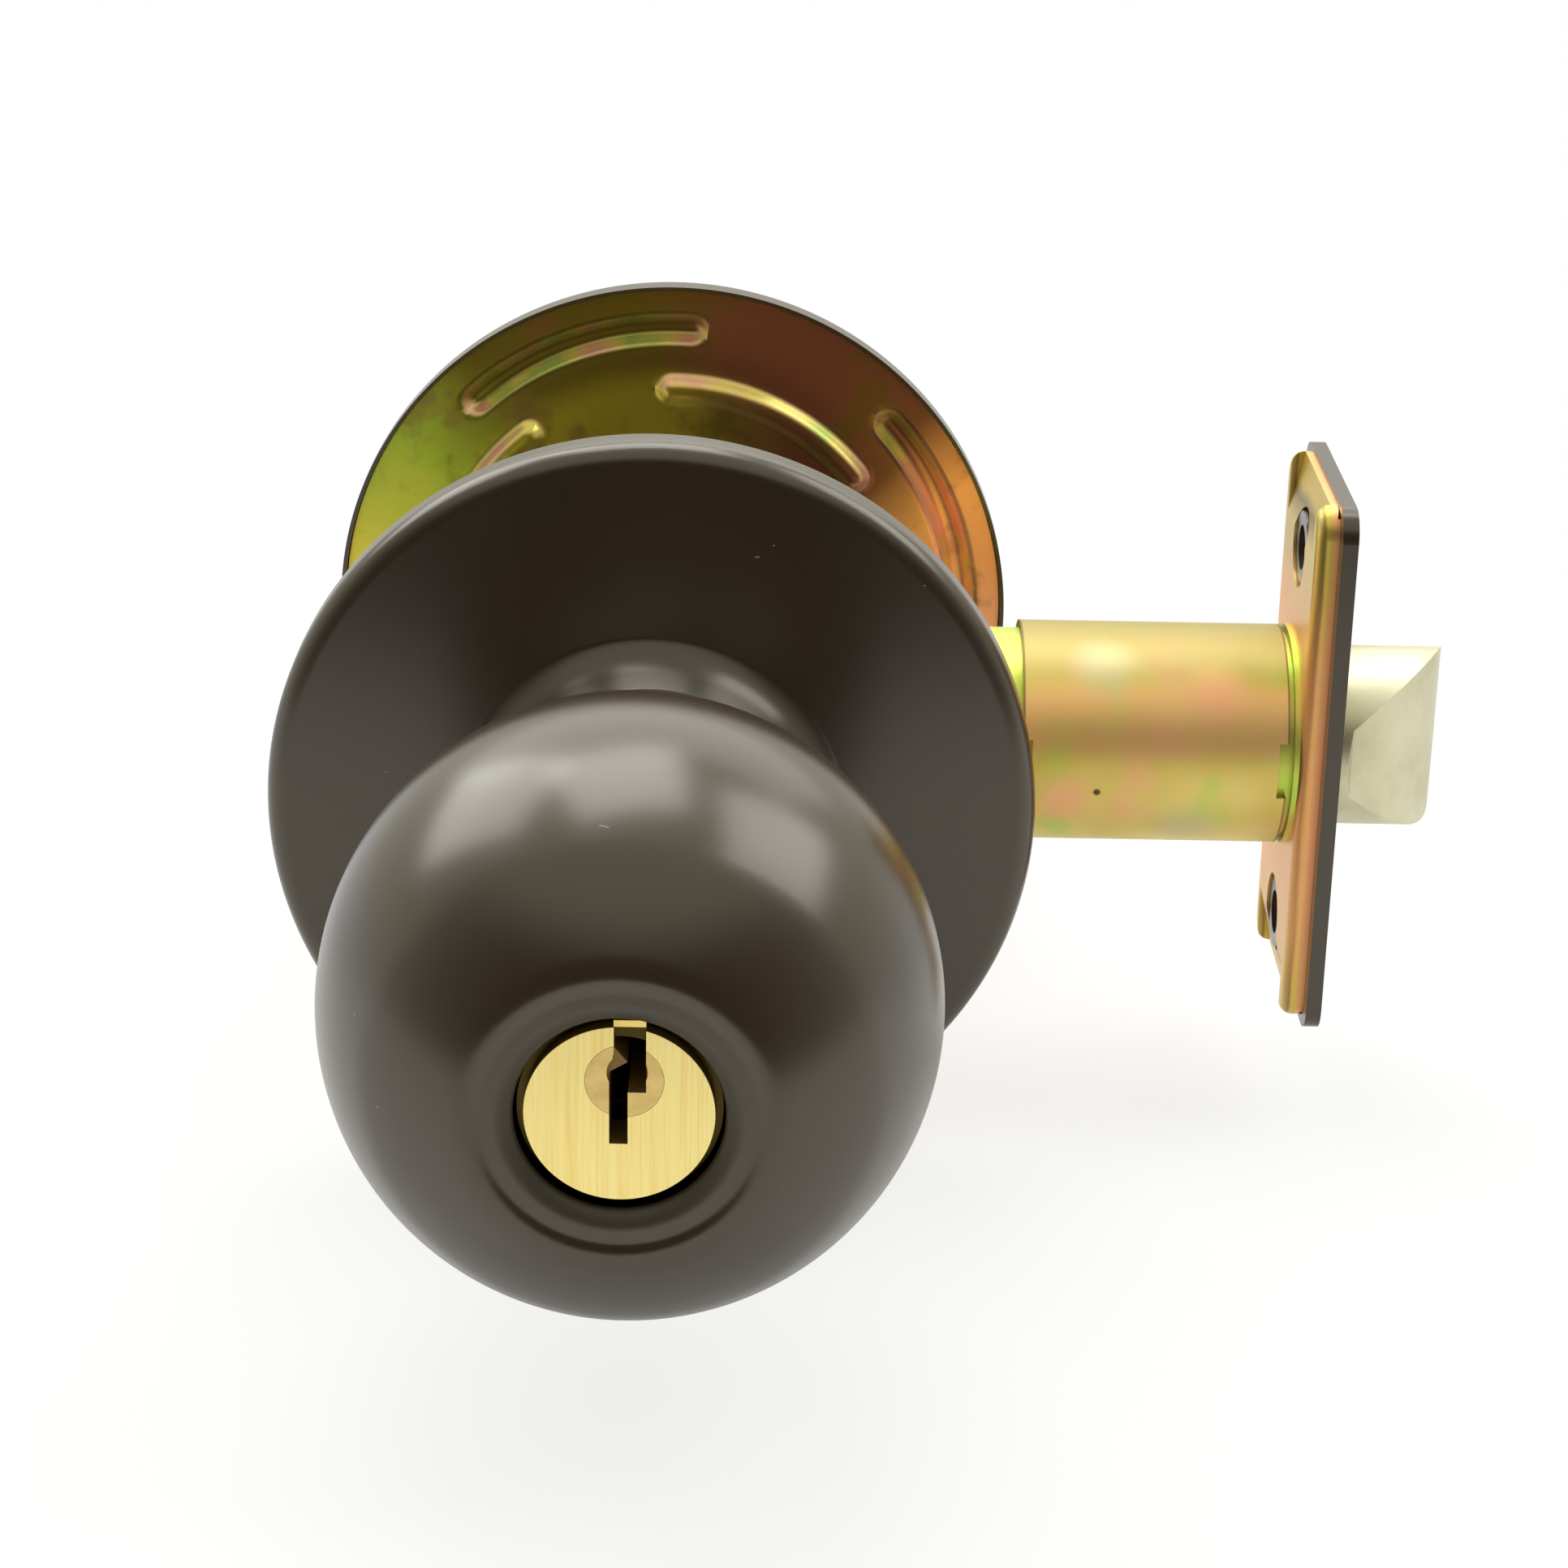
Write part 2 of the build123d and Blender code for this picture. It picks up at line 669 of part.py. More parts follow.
with BuildPart() as button_sleeve:
    with BuildSketch(side_plane(1)):
        flange_front = front_inner - free_gap
        band(button_radius + running_fit, sleeve_radius, sleeve_back, sleeve_front)
        band(button_radius + running_fit, sleeve_flange_radius, flange_front - sleeve_flange, flange_front)
    revolve(axis=Axis.Y)
    fillet(button_sleeve.edges().group_by(Axis.Y)[-1], sleeve_edge_round)
button_sleeve.part.label = "button_sleeve"
export_step(button_sleeve.part, "parts/button_sleeve.step")

with BuildPart() as button_spring:
    button_spring_length = button_back - liner_reach
    coil((0, liner_reach, 0), (0, 1, 0), button_spring_length, button_spring_radius, button_spring_turns)
button_spring.part.label = "button_spring"
export_step(button_spring.part, "parts/button_spring.step")

# Roses: pressed covers whose collar rises round the knob neck
rose_rims = {"outside": door_face, "inside": inside_rim}
for place, side in places.items():
    rim = rose_rims[place]
    face_outer = rim + rose_rim_height
    face_rise = face_outer + rose_face_rise
    collar_top = rim + collar_height
    face_slope = atan2(rose_face_rise, rose_radius - rose_face_inner)
    collar_foot = face_rise + (rose_face_inner - collar_radius) * tan(radians(45) + face_slope / 2)
    with BuildPart() as rose:
        with BuildSketch(side_plane(side)) as profile:
            with BuildLine():
                Polyline(
                    (collar_bore, collar_top),
                    (collar_bore, face_rise + collar_inner_rise),
                    (rose_face_inner, face_rise - rose_wall),
                    (rose_radius - rose_wall, face_outer - rose_wall),
                    (rose_radius - rose_wall, rim),
                    (rose_radius, rim),
                    (rose_radius, face_outer),
                    (rose_face_inner, face_rise),
                )
                foot = TangentArc(
                    (rose_face_inner, face_rise),
                    (collar_radius, collar_foot),
                    tangent=(rose_face_inner - rose_radius, rose_face_rise),
                )
                Polyline(foot @ 1, (collar_radius, collar_top), (collar_bore, collar_top))
            make_face()
            fillet(profile.vertices().sort_by_distance((rose_radius, face_outer, 0))[0], rose_rim_round)
        revolve(axis=Axis.Y)
    rose.part.label = f"{place}_rose"
    export_step(rose.part, f"parts/{place}_rose.step")

# Rose liner: the threaded disc that backs the outside rose and runs on the outside hub
with BuildPart() as rose_liner:
    with BuildSketch(side_plane(-1)):
        liner_start = door_face + rose_liner_setback
        liner_edge = rose_radius - rose_wall - plate_edge_gap
        band(hub_radius + running_fit, liner_edge, liner_start, liner_start + rose_liner_plate)
        boss_edge = hub_radius + running_fit + rose_liner_boss
        band(hub_radius + running_fit, boss_edge, liner_start, liner_start + rose_liner_boss_height)
    revolve(axis=Axis.Y)
rose_liner.part.label = "outside_rose_liner"
export_step(rose_liner.part, "parts/outside_rose_liner.step")

# Mounting plate: a pressed disc inside the inside rose, with long grooves near its edge
# and long ridges nearer the middle
plate_back = plate_face + plate_thickness
plate_middle = (plate_face + plate_back) / 2
rib_offset = rib_section - rib_depth
rib_patterns = [
    (groove_radius, groove_span, groove_angle, plate_face - rib_offset, Keep.BOTTOM),
    (ridge_radius, ridge_span, ridge_angle, plate_back + rib_offset, Keep.TOP),
]


def rib(radius, span, middle, height, section, kept_side):
    # A bar of round section bent about Y, with round ends, on one side of the plate.
    ends = [radians(middle + end * span / 2) for end in (1, -1)]
    along = (cos(ends[0]), 0, sin(ends[0]))
    across = (-sin(ends[0]), 0, cos(ends[0]))
    with BuildPart() as bar:
        with BuildSketch(Plane(origin=(0, 0, 0), x_dir=along, z_dir=across)):
            with Locations((radius, height)):
                Circle(section)
        revolve(axis=Axis.Y, revolution_arc=span)
        with Locations(*[(radius * cos(end), height, radius * sin(end)) for end in ends]):
            Sphere(section)
        split(bisect_by=cross_plane(plate_middle), keep=kept_side)
    return bar.part


with BuildPart() as mounting_plate:
    with BuildSketch(side_plane(1)):
        band(collar_bore, rose_radius - rose_wall - plate_edge_gap, plate_face, plate_back)
    revolve(axis=Axis.Y)
    backing = rib_section + plate_thickness - rib_backing
    for section, mode in ((backing, Mode.ADD), (rib_section, Mode.SUBTRACT)):
        for turn in range(0, 360, 360 // rib_count):
            for radius, span, middle, height, kept_side in rib_patterns:
                kept = kept_side if mode == Mode.ADD else Keep.ALL
                add(rib(radius, span, middle + turn, height, section, kept), mode=mode)
    with BuildSketch(cross_plane(plate_face)):
        with GridLocations(0, 2 * post_offset, 1, 2):
            Circle(screw_bore)
    extrude(amount=-plate_thickness, mode=Mode.SUBTRACT)
mounting_plate.part.label = "mounting_plate"
export_step(mounting_plate.part, "parts/mounting_plate.step")

# Mounting screws: they draw the mounting plate to the posts of the outside hub
with BuildPart() as mounting_screws:
    with BuildSketch(cross_plane(screw_tip)):
        with GridLocations(0, 2 * post_offset, 1, 2):
            Circle(screw_radius)
    extrude(amount=-(plate_back - screw_tip))
    with BuildSketch(cross_plane(plate_back)):
        with GridLocations(0, 2 * post_offset, 1, 2):
            Circle(screw_head_radius)
    extrude(amount=-screw_head_height)
    fillet(mounting_screws.edges().group_by(Axis.Y)[-1], screw_head_round)
    with BuildSketch(cross_plane(plate_back + screw_head_height)):
        with GridLocations(0, 2 * post_offset, 1, 2):
            Rectangle(2 * screw_radius, screw_slot)
            Rectangle(screw_slot, 2 * screw_radius)
    extrude(amount=screw_head_height / 2, mode=Mode.SUBTRACT)
mounting_screws.part.label = "mounting_screws"
export_step(mounting_screws.part, "parts/mounting_screws.step")

# Latch tube: the inner tube, flanged at the bolt plate and slotted where it meets the case
with BuildPart() as latch_tube:
    with BuildSketch(Plane.YZ.offset(latch_tube_start)):
        Circle(latch_tube_radius)
        Circle(latch_bore, mode=Mode.SUBTRACT)
    extrude(amount=pan_back - latch_tube_start)
    with BuildSketch(Plane.YZ.offset(pan_back - tube_flange)):
        Circle(latch_tube_radius + tube_flange_width)
        Circle(latch_bore, mode=Mode.SUBTRACT)
    extrude(amount=tube_flange)
    with Locations((latch_tube_start, 0, 0)):
        Box(2 * prong_depth, 2 * latch_tube_radius, prong_width, mode=Mode.SUBTRACT)
latch_tube.part.label = "latch_tube"
export_step(latch_tube.part, "parts/latch_tube.step")

# Latch sleeve: the outer tube, notched at both ends on the keyed side
with BuildPart() as latch_sleeve:
    with BuildSketch(Plane.YZ.offset(latch_sleeve_start)):
        Circle(latch_tube_radius + seat_fit + sleeve_wall)
        Circle(latch_tube_radius + seat_fit, mode=Mode.SUBTRACT)
    extrude(amount=latch_sleeve_end - latch_sleeve_start)
    with Locations(*[(end, -latch_tube_radius, 0) for end in (latch_sleeve_start, latch_sleeve_end)]):
        Box(2 * notch_depth, latch_tube_radius, notch_width, mode=Mode.SUBTRACT)
latch_sleeve.part.label = "latch_sleeve"
export_step(latch_sleeve.part, "parts/latch_sleeve.step")

# Latch backplate: a pressed pan behind the faceplate, whose floor ramps down to the plate
# at both ends, between the two rounded sides
pan_end = face_height / 2 - pan_end_inset
ramp_start = pan_end - pan_ramp
with BuildPart() as latch_backplate:
    with BuildSketch(Plane.YZ.offset(pan_back)):
        RectangleRounded(pan_width, 2 * pan_end, pan_corner)
    extrude(amount=pan_depth)
    fillet(latch_backplate.faces().sort_by(Axis.X)[0].edges(), pan_round)
    with BuildSketch(Plane.XZ.offset(-(pan_width / 2 - pan_thickness))):
        Polygon(
            (pan_back + pan_thickness, -ramp_start),
            (pan_back + pan_thickness, ramp_start),
            (face_back, pan_end),
            (face_back, -pan_end),
            align=None,
        )
    extrude(amount=pan_width - 2 * pan_thickness, mode=Mode.SUBTRACT)
    with BuildSketch(Plane.XZ.offset(-(pan_width / 2 - pan_lobe))):
        for end in (-1, 1):
            Polygon(
                (pan_back, end * ramp_start),
                (face_back - pan_thickness, end * pan_end),
                (face_back - pan_thickness, end * face_height),
                (0, end * face_height),
                (0, end * ramp_start),
                align=None,
            )
    extrude(amount=pan_width - 2 * pan_lobe, mode=Mode.SUBTRACT)
    with BuildSketch(Plane.YZ.offset(pan_back)):
        Circle(bolt_hole)
        with GridLocations(0, face_screw_spacing, 1, 2):
            Circle(pan_hole)
    extrude(amount=pan_depth, mode=Mode.SUBTRACT)
latch_backplate.part.label = "latch_backplate"
export_step(latch_backplate.part, "parts/latch_backplate.step")

# Latch faceplate: flush with the door edge, its screw dimples reach into the pan
with BuildPart() as latch_faceplate:
    with BuildSketch(Plane.YZ.offset(face_back)):
        RectangleRounded(face_width, face_height, face_corner)
    extrude(amount=face_thickness)
    with BuildSketch(Plane.YZ.offset(face_back - dimple_depth)):
        with GridLocations(0, face_screw_spacing, 1, 2):
            Circle(dimple_radius)
    extrude(amount=dimple_depth)
    with Locations(Plane.YZ.offset(face_front)):
        with GridLocations(0, face_screw_spacing, 1, 2):
            CounterSinkHole(face_screw_hole, face_screw_sink, depth=face_thickness + dimple_depth)
    with BuildSketch(Plane.YZ.offset(face_back)):
        Circle(bolt_hole)
    extrude(amount=face_thickness, mode=Mode.SUBTRACT)
latch_faceplate.part.label = "latch_faceplate"
export_step(latch_faceplate.part, "parts/latch_faceplate.step")

# Bolt: a round bar with a flat back and a curved bevel that meets the strike
with BuildPart() as latch_bolt:
    with BuildSketch(Plane.YZ.offset(bolt_rear)):
        Circle(bolt_radius)
        with Locations((bolt_flat + bolt_radius, 0)):
            Rectangle(2 * bolt_radius, 2 * bolt_radius, mode=Mode.SUBTRACT)
    extrude(amount=bolt_tip - bolt_rear)
    with BuildSketch(Plane.XY.offset(-bolt_radius)):
        with BuildLine():
            bevel = ThreePointArc(
                (bolt_tip, bolt_flat),
                (face_front + bevel_middle[0], bevel_middle[1]),
                (face_front + bevel_end[0], bevel_end[1]),
            )
            root = (face_front + bevel_root[0], bevel_root[1])
            Polyline(
                bevel @ 1, root, (bolt_rear, bevel_root[1]), (bolt_rear, bolt_flat), (bolt_tip, bolt_flat)
            )
        make_face()
    extrude(amount=2 * bolt_radius, mode=Mode.INTERSECT)
    with BuildSketch(Plane.XZ):
        with Locations((bolt_rear + tail_insert / 2, 0)):
            Rectangle(tail_insert, 2 * latch_tail_half_width + 2 * seat_fit)
    extrude(amount=latch_tail_half_thickness + seat_fit, both=True, mode=Mode.SUBTRACT)
    with BuildSketch(Plane.XZ.offset(-bolt_flat)):
        with Locations((tail_pin_place, 0)):
            Circle(tail_pin_radius + seat_fit)
    extrude(amount=2 * bolt_flat, mode=Mode.SUBTRACT)
latch_bolt.part.label = "latch_bolt"
export_step(latch_bolt.part, "parts/latch_bolt.step")

# Latch tail: the strip that links the bolt to the retractor, with a cross pin in the bolt
with BuildPart() as latch_tail:
    with BuildSketch(Plane.XZ.offset(-latch_tail_half_thickness)):
        tail_front = bolt_rear + tail_insert - seat_fit
        with Locations(((tail_neck_end + tail_front) / 2, 0)):
            Rectangle(tail_front - tail_neck_end, 2 * latch_tail_half_width)
        with Locations(((tail_head_start + tail_neck_end) / 2, 0)):
            Rectangle(tail_neck_end - tail_head_start, 2 * tail_neck_half)
        with Locations((tail_head_start + tail_head / 2, 0)):
            Rectangle(tail_head, 2 * tail_head_half)
        with Locations((tail_pin_place, 0)):
            Circle(tail_pin_radius + seat_fit, mode=Mode.SUBTRACT)
    extrude(amount=2 * latch_tail_half_thickness)
latch_tail.part.label = "latch_tail"
export_step(latch_tail.part, "parts/latch_tail.step")

with BuildPart() as tail_pin:
    with BuildSketch(Plane.XZ.offset(-bolt_flat)):
        with Locations((tail_pin_place, 0)):
            Circle(tail_pin_radius)
    extrude(amount=2 * bolt_flat - seat_fit)
tail_pin.part.label = "tail_pin"
export_step(tail_pin.part, "parts/tail_pin.step")

# Deadlatch plunger: the narrow segment beside the bolt, with its own sloped nose
with BuildPart() as deadlatch_plunger:
    with BuildSketch(Plane.YZ.offset(deadlatch_rear)):
        Circle(bolt_radius)
        with Locations((deadlatch_flat - bolt_radius, 0)):
            Rectangle(2 * bolt_radius, 2 * bolt_radius, mode=Mode.SUBTRACT)
    extrude(amount=deadlatch_tip - deadlatch_rear)
    with BuildSketch(Plane.XY.offset(-bolt_radius)):
        Polygon(
            (deadlatch_rear, deadlatch_flat),
            (deadlatch_tip - deadlatch_nose, deadlatch_flat),
            (deadlatch_tip, bolt_radius - deadlatch_land),
            (deadlatch_tip, bolt_radius),
            (deadlatch_rear, bolt_radius),
            align=None,
        )
    extrude(amount=2 * bolt_radius, mode=Mode.INTERSECT)
deadlatch_plunger.part.label = "deadlatch_plunger"
export_step(deadlatch_plunger.part, "parts/deadlatch_plunger.step")

# Tail guide: the disc in the latch tube that the tail passes and the springs rest on
tail_guide_face = tail_guide_start + tail_guide
with BuildPart() as tail_guide_disc:
    with BuildSketch(Plane.YZ.offset(tail_guide_start)):
        Circle(latch_bore - seat_fit)
        Rectangle(
            2 * (latch_tail_half_thickness + tail_slot_gap),
            2 * (latch_tail_half_width + tail_slot_gap),
            mode=Mode.SUBTRACT,
        )
    extrude(amount=tail_guide)
tail_guide_disc.part.label = "tail_guide"
export_step(tail_guide_disc.part, "parts/tail_guide.step")

# Latch springs: one round the tail for the bolt, one beside it for the deadlatch plunger
with BuildPart() as bolt_spring:
    bolt_spring_length = bolt_rear - tail_guide_face
    coil((tail_guide_face, 0, 0), (1, 0, 0), bolt_spring_length, bolt_spring_radius, bolt_spring_turns)
bolt_spring.part.label = "bolt_spring"
export_step(bolt_spring.part, "parts/bolt_spring.step")

with BuildPart() as deadlatch_spring:
    spring_start = (tail_guide_face, deadlatch_spring_offset, 0)
    spring_length = deadlatch_rear - tail_guide_face
    coil(spring_start, (1, 0, 0), spring_length, deadlatch_spring_radius, deadlatch_spring_turns)
deadlatch_spring.part.label = "deadlatch_spring"
export_step(deadlatch_spring.part, "parts/deadlatch_spring.step")
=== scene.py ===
import json
from math import asin, atan2, cos, pi, radians, sin, sqrt, tan

import bmesh
import bpy
from mathutils import Matrix, Vector


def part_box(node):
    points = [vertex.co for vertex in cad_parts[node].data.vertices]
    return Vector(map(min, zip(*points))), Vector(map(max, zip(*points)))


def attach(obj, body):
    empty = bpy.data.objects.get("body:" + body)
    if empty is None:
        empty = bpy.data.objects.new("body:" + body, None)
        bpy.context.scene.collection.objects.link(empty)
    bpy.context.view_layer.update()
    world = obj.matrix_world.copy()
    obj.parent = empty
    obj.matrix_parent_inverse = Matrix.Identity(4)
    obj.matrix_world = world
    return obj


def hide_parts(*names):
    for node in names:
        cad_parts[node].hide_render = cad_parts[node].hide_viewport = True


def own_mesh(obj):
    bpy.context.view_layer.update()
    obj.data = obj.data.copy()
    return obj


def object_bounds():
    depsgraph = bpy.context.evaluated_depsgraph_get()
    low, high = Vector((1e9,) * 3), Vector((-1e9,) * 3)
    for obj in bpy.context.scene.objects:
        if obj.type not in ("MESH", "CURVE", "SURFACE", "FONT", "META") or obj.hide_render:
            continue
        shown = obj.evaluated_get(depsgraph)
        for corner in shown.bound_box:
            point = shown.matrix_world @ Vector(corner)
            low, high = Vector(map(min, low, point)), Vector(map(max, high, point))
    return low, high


# Ball knob lock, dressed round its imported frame.
# The knobs turn about Y with the keyed one at -Y, the bolt slides along X, Z is up.
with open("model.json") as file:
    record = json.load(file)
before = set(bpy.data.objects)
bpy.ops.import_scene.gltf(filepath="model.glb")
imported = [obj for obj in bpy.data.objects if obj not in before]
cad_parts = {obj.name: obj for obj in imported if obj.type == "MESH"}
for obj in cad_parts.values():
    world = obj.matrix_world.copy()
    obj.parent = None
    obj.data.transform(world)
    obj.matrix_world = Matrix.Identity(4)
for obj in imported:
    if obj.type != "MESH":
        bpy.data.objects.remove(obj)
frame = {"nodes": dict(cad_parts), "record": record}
nodes = frame["nodes"]
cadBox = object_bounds()
mm = 0.001
sharpAngle = radians(32)  # edges that turn by more than this stay crisp
print("frame loaded:", len(nodes), "nodes")


def metres(values):  # from millimetres
    return [value * mm for value in values]


def paint(red, green, blue):  # a colour as it looks on a screen, 0 to 255
    return tuple((channel / 255) ** 2.2 for channel in (red, green, blue)) + (1.0,)


# Node trees
class Wire:  # one socket of a node tree, so that sums on it read as plain maths
    def __init__(self, builder, socket):
        self.builder = builder
        self.socket = socket

    def __add__(self, other):
        return self.builder.maths("ADD", self, other)

    def __radd__(self, other):
        return self.builder.maths("ADD", other, self)

    def __sub__(self, other):
        return self.builder.maths("SUBTRACT", self, other)

    def __rsub__(self, other):
        return self.builder.maths("SUBTRACT", other, self)

    def __mul__(self, other):
        return self.builder.maths("MULTIPLY", self, other)

    def __rmul__(self, other):
        return self.builder.maths("MULTIPLY", other, self)

    def __truediv__(self, other):
        return self.builder.maths("DIVIDE", self, other)

    def __gt__(self, other):
        return self.builder.maths("GREATER_THAN", self, other)

    def __lt__(self, other):
        return self.builder.maths("LESS_THAN", self, other)


class Builder:  # fills one node tree
    def __init__(self, tree):
        self.tree = tree
        tree.nodes.clear()

    def node(self, kind, settings=None, sockets=None, output=0):
        made = self.tree.nodes.new(kind)
        for key, value in (settings or {}).items():
            if key == "stops":
                self.setStops(made.color_ramp, value)
            else:
                setattr(made, key, value)
        for key, value in (sockets or {}).items():
            if isinstance(value, Wire):
                self.tree.links.new(value.socket, made.inputs[key])
            else:
                made.inputs[key].default_value = value
        return Wire(self, made.outputs[output]) if made.outputs else made

    def setStops(self, ramp, stops):
        while len(ramp.elements) < len(stops):
            ramp.elements.new(1.0)
        for element, (place, colour) in zip(ramp.elements, stops):
            element.position = place
            element.color = colour

    def maths(self, operation, *values):
        return self.node("ShaderNodeMath", {"operation": operation}, dict(enumerate(values)))

    def limit(self, value):
        return self.node("ShaderNodeClamp", None, {0: value})

    def fade(self, value, start, stop):  # 0 before start, 1 after stop, smooth between
        sockets = {0: value, 1: start, 2: stop, 3: 0.0, 4: 1.0}
        return self.node("ShaderNodeMapRange", {"interpolation_type": "SMOOTHSTEP"}, sockets)

    def band(self, value, first, full, last, end):  # rises from 0 to 1, then falls to 0 again
        return self.fade(value, first, full) * (1 - self.fade(value, last, end))

    def split(self, vector):
        parted = self.tree.nodes.new("ShaderNodeSeparateXYZ")
        self.tree.links.new(vector.socket, parted.inputs[0])
        return [Wire(self, output) for output in parted.outputs]

    def mix(self, factor, first, second):
        sockets = {0: factor, 6: first, 7: second}
        return self.node("ShaderNodeMix", {"data_type": "RGBA"}, sockets, 2)

    def ramp(self, value, *stops):
        return self.node("ShaderNodeValToRGB", {"stops": stops}, {0: value})


class Finish(Builder):  # one material, on object coordinates
    def __init__(self, name):
        self.material = bpy.data.materials.new(name)
        self.material.use_nodes = True
        super().__init__(self.material.node_tree)
        self.place = self.node("ShaderNodeTexCoord", output=3)

    def moved(self, shift=(0, 0, 0), stretch=(1, 1, 1)):
        return self.node("ShaderNodeMapping", None, {0: self.place, 1: shift, 3: stretch})

    def noise(self, scale, detail, roughness=0.5, vector=None):
        sockets = {"Vector": vector or self.place, "Scale": scale}
        sockets.update({"Detail": detail, "Roughness": roughness})
        return self.node("ShaderNodeTexNoise", None, sockets)

    def sway(self, scale, detail):  # noise to both sides of 0
        return self.noise(scale, detail) - 0.5

    def specks(self, scale, size):  # small spots scattered over the surface
        cells = self.node("ShaderNodeTexVoronoi", None, {"Vector": self.place, "Scale": scale})
        return cells < size

    def spot(self, centre, reach):  # 1 near one place, fading to 0
        sockets = {0: self.place, 1: metres(centre)}
        away = self.node("ShaderNodeVectorMath", {"operation": "DISTANCE"}, sockets, 1)
        return 1 - self.fade(away, *metres(reach))

    def span(self, x, z):  # distance from the knob axis
        return self.maths("SQRT", x * x + z * z)

    def bump(self, height, strength, distance):
        sockets = {"Strength": strength, "Distance": distance, "Height": height}
        return self.node("ShaderNodeBump", None, sockets)

    def finish(self, **sockets):
        named = {key.replace("_", " "): value for key, value in sockets.items()}
        shader = self.node("ShaderNodeBsdfPrincipled", None, named)
        self.node("ShaderNodeOutputMaterial", None, {"Surface": shader})
        return self.material


class Shaper(Builder):  # a Geometry Nodes tree whose inputs are named sizes
    def __init__(self, name, sizes):
        kinds = {
            int: "NodeSocketInt",
            float: "NodeSocketFloat",
            bpy.types.Material: "NodeSocketMaterial",
        }
        super().__init__(bpy.data.node_groups.new(name, "GeometryNodeTree"))
        self.sizes = sizes
        interface = self.tree.interface
        interface.new_socket("Geometry", in_out="OUTPUT", socket_type="NodeSocketGeometry")
        for label, value in sizes.items():
            interface.new_socket(label, in_out="INPUT", socket_type=kinds[type(value)])
        group = self.tree.nodes.new("NodeGroupInput")
        self.inputs = {label: Wire(self, group.outputs[label]) for label in sizes}

    def close(self, geometry, material):
        whole = self.node("GeometryNodeRealizeInstances", None, {0: geometry})
        sockets = {"Geometry": whole, "Material": material}
        whole = self.node("GeometryNodeSetMaterial", None, sockets)
        self.node("NodeGroupOutput", None, {0: whole})

    def mesh(self, name):  # runs the tree and returns a plain mesh
        holder = bpy.data.objects.new(name, bpy.data.meshes.new(name))
        bpy.context.scene.collection.objects.link(holder)
        modifier = holder.modifiers.new(name, "NODES")
        modifier.node_group = self.tree
        for item in self.tree.interface.items_tree:
            if item.in_out == "INPUT":
                modifier[item.identifier] = self.sizes[item.name]
        mesh = plainMesh(holder)
        mesh.materials.clear()
        mesh.materials.append(self.sizes["Finish"])
        return mesh


def plainMesh(holder):  # the object's evaluated mesh, with its modifiers gone
    graph = bpy.context.evaluated_depsgraph_get()
    mesh = bpy.data.meshes.new_from_object(holder.evaluated_get(graph))
    bpy.data.objects.remove(holder)
    return mesh


def faceOutward(mesh):
    work = bmesh.new()
    work.from_mesh(mesh)
    bmesh.ops.recalc_face_normals(work, faces=work.faces)
    work.to_mesh(mesh)
    work.free()


def addPiece(name, mesh, body, slot, node):
    mesh.shade_smooth()
    mesh.set_sharp_from_angle(angle=sharpAngle)
    piece = bpy.data.objects.new(name, mesh)
    bpy.context.scene.collection.objects.link(piece)
    if not mesh.materials:
        mesh.materials.append(finishes[slot])
    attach(piece, body)
    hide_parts(node)
    return piece


# Dark bronze of the knobs, roses and faceplate, with painted shade on the lip round the knob's hole.
# Here and below a noise is given as its scale, detail and roughness, and specks as scale and size.
darkBronzeLook = {
    "base": paint(46, 36, 30),
    "warm": paint(52, 39, 31),
    "dust": paint(170, 166, 158),
    "cloud": (90, 3.0),
    "grain": (2600, 2.0),
    "specks": (190, 0.012),
    "scratch": (160, 3.0, 0.6),
    "scratchShift": (0.01, 0.02, 0.03),
    "scratchStretch": (1, 1, 7),
    "scratchFrom": 0.76,
    "scratchShare": 0.5,
    # painted shade for the lip round the hole
    "lipShade": paint(40, 31, 20),
    "lipRadius": (9.4, 10.6),
    "lipFrom": -89.0,
    "roughness": 0.21,
    "cloudRoughness": 0.04,
    "grainRoughness": 0.05,
    "lipRoughness": 0.3,
    "bump": (0.05, 0.00005),
    "glint": {"Specular_IOR_Level": 0.5, "IOR": 1.68, "Specular_Tint": (1.0, 0.98, 0.86, 1.0)},
}


def makeDarkBronze():
    look = darkBronzeLook
    work = Finish("darkBronze")
    cloud = work.noise(*look["cloud"])
    grain = work.noise(*look["grain"])
    colour = work.mix(cloud, look["base"], look["warm"])
    colour = work.mix(work.specks(*look["specks"]), colour, look["dust"])
    drawn = work.moved(look["scratchShift"], look["scratchStretch"])
    scratch = work.noise(*look["scratch"], drawn) > look["scratchFrom"]
    colour = work.mix(look["scratchShare"] * scratch, colour, look["dust"])
    x, y, z = work.split(work.place)
    # painted shade on the lip round the hole: a darker brown, made rougher so that it reflects less
    inside = 1 - work.fade(work.span(x, z), *metres(look["lipRadius"]))
    lipShade = inside * (y < look["lipFrom"] * mm)
    colour = work.mix(lipShade, colour, look["lipShade"])
    roughness = look["roughness"] + look["cloudRoughness"] * cloud + look["grainRoughness"] * grain
    roughness = roughness + look["lipRoughness"] * lipShade
    normal = work.bump(grain, *look["bump"])
    return work.finish(Base_Color=colour, Roughness=roughness, Normal=normal, **look["glint"])
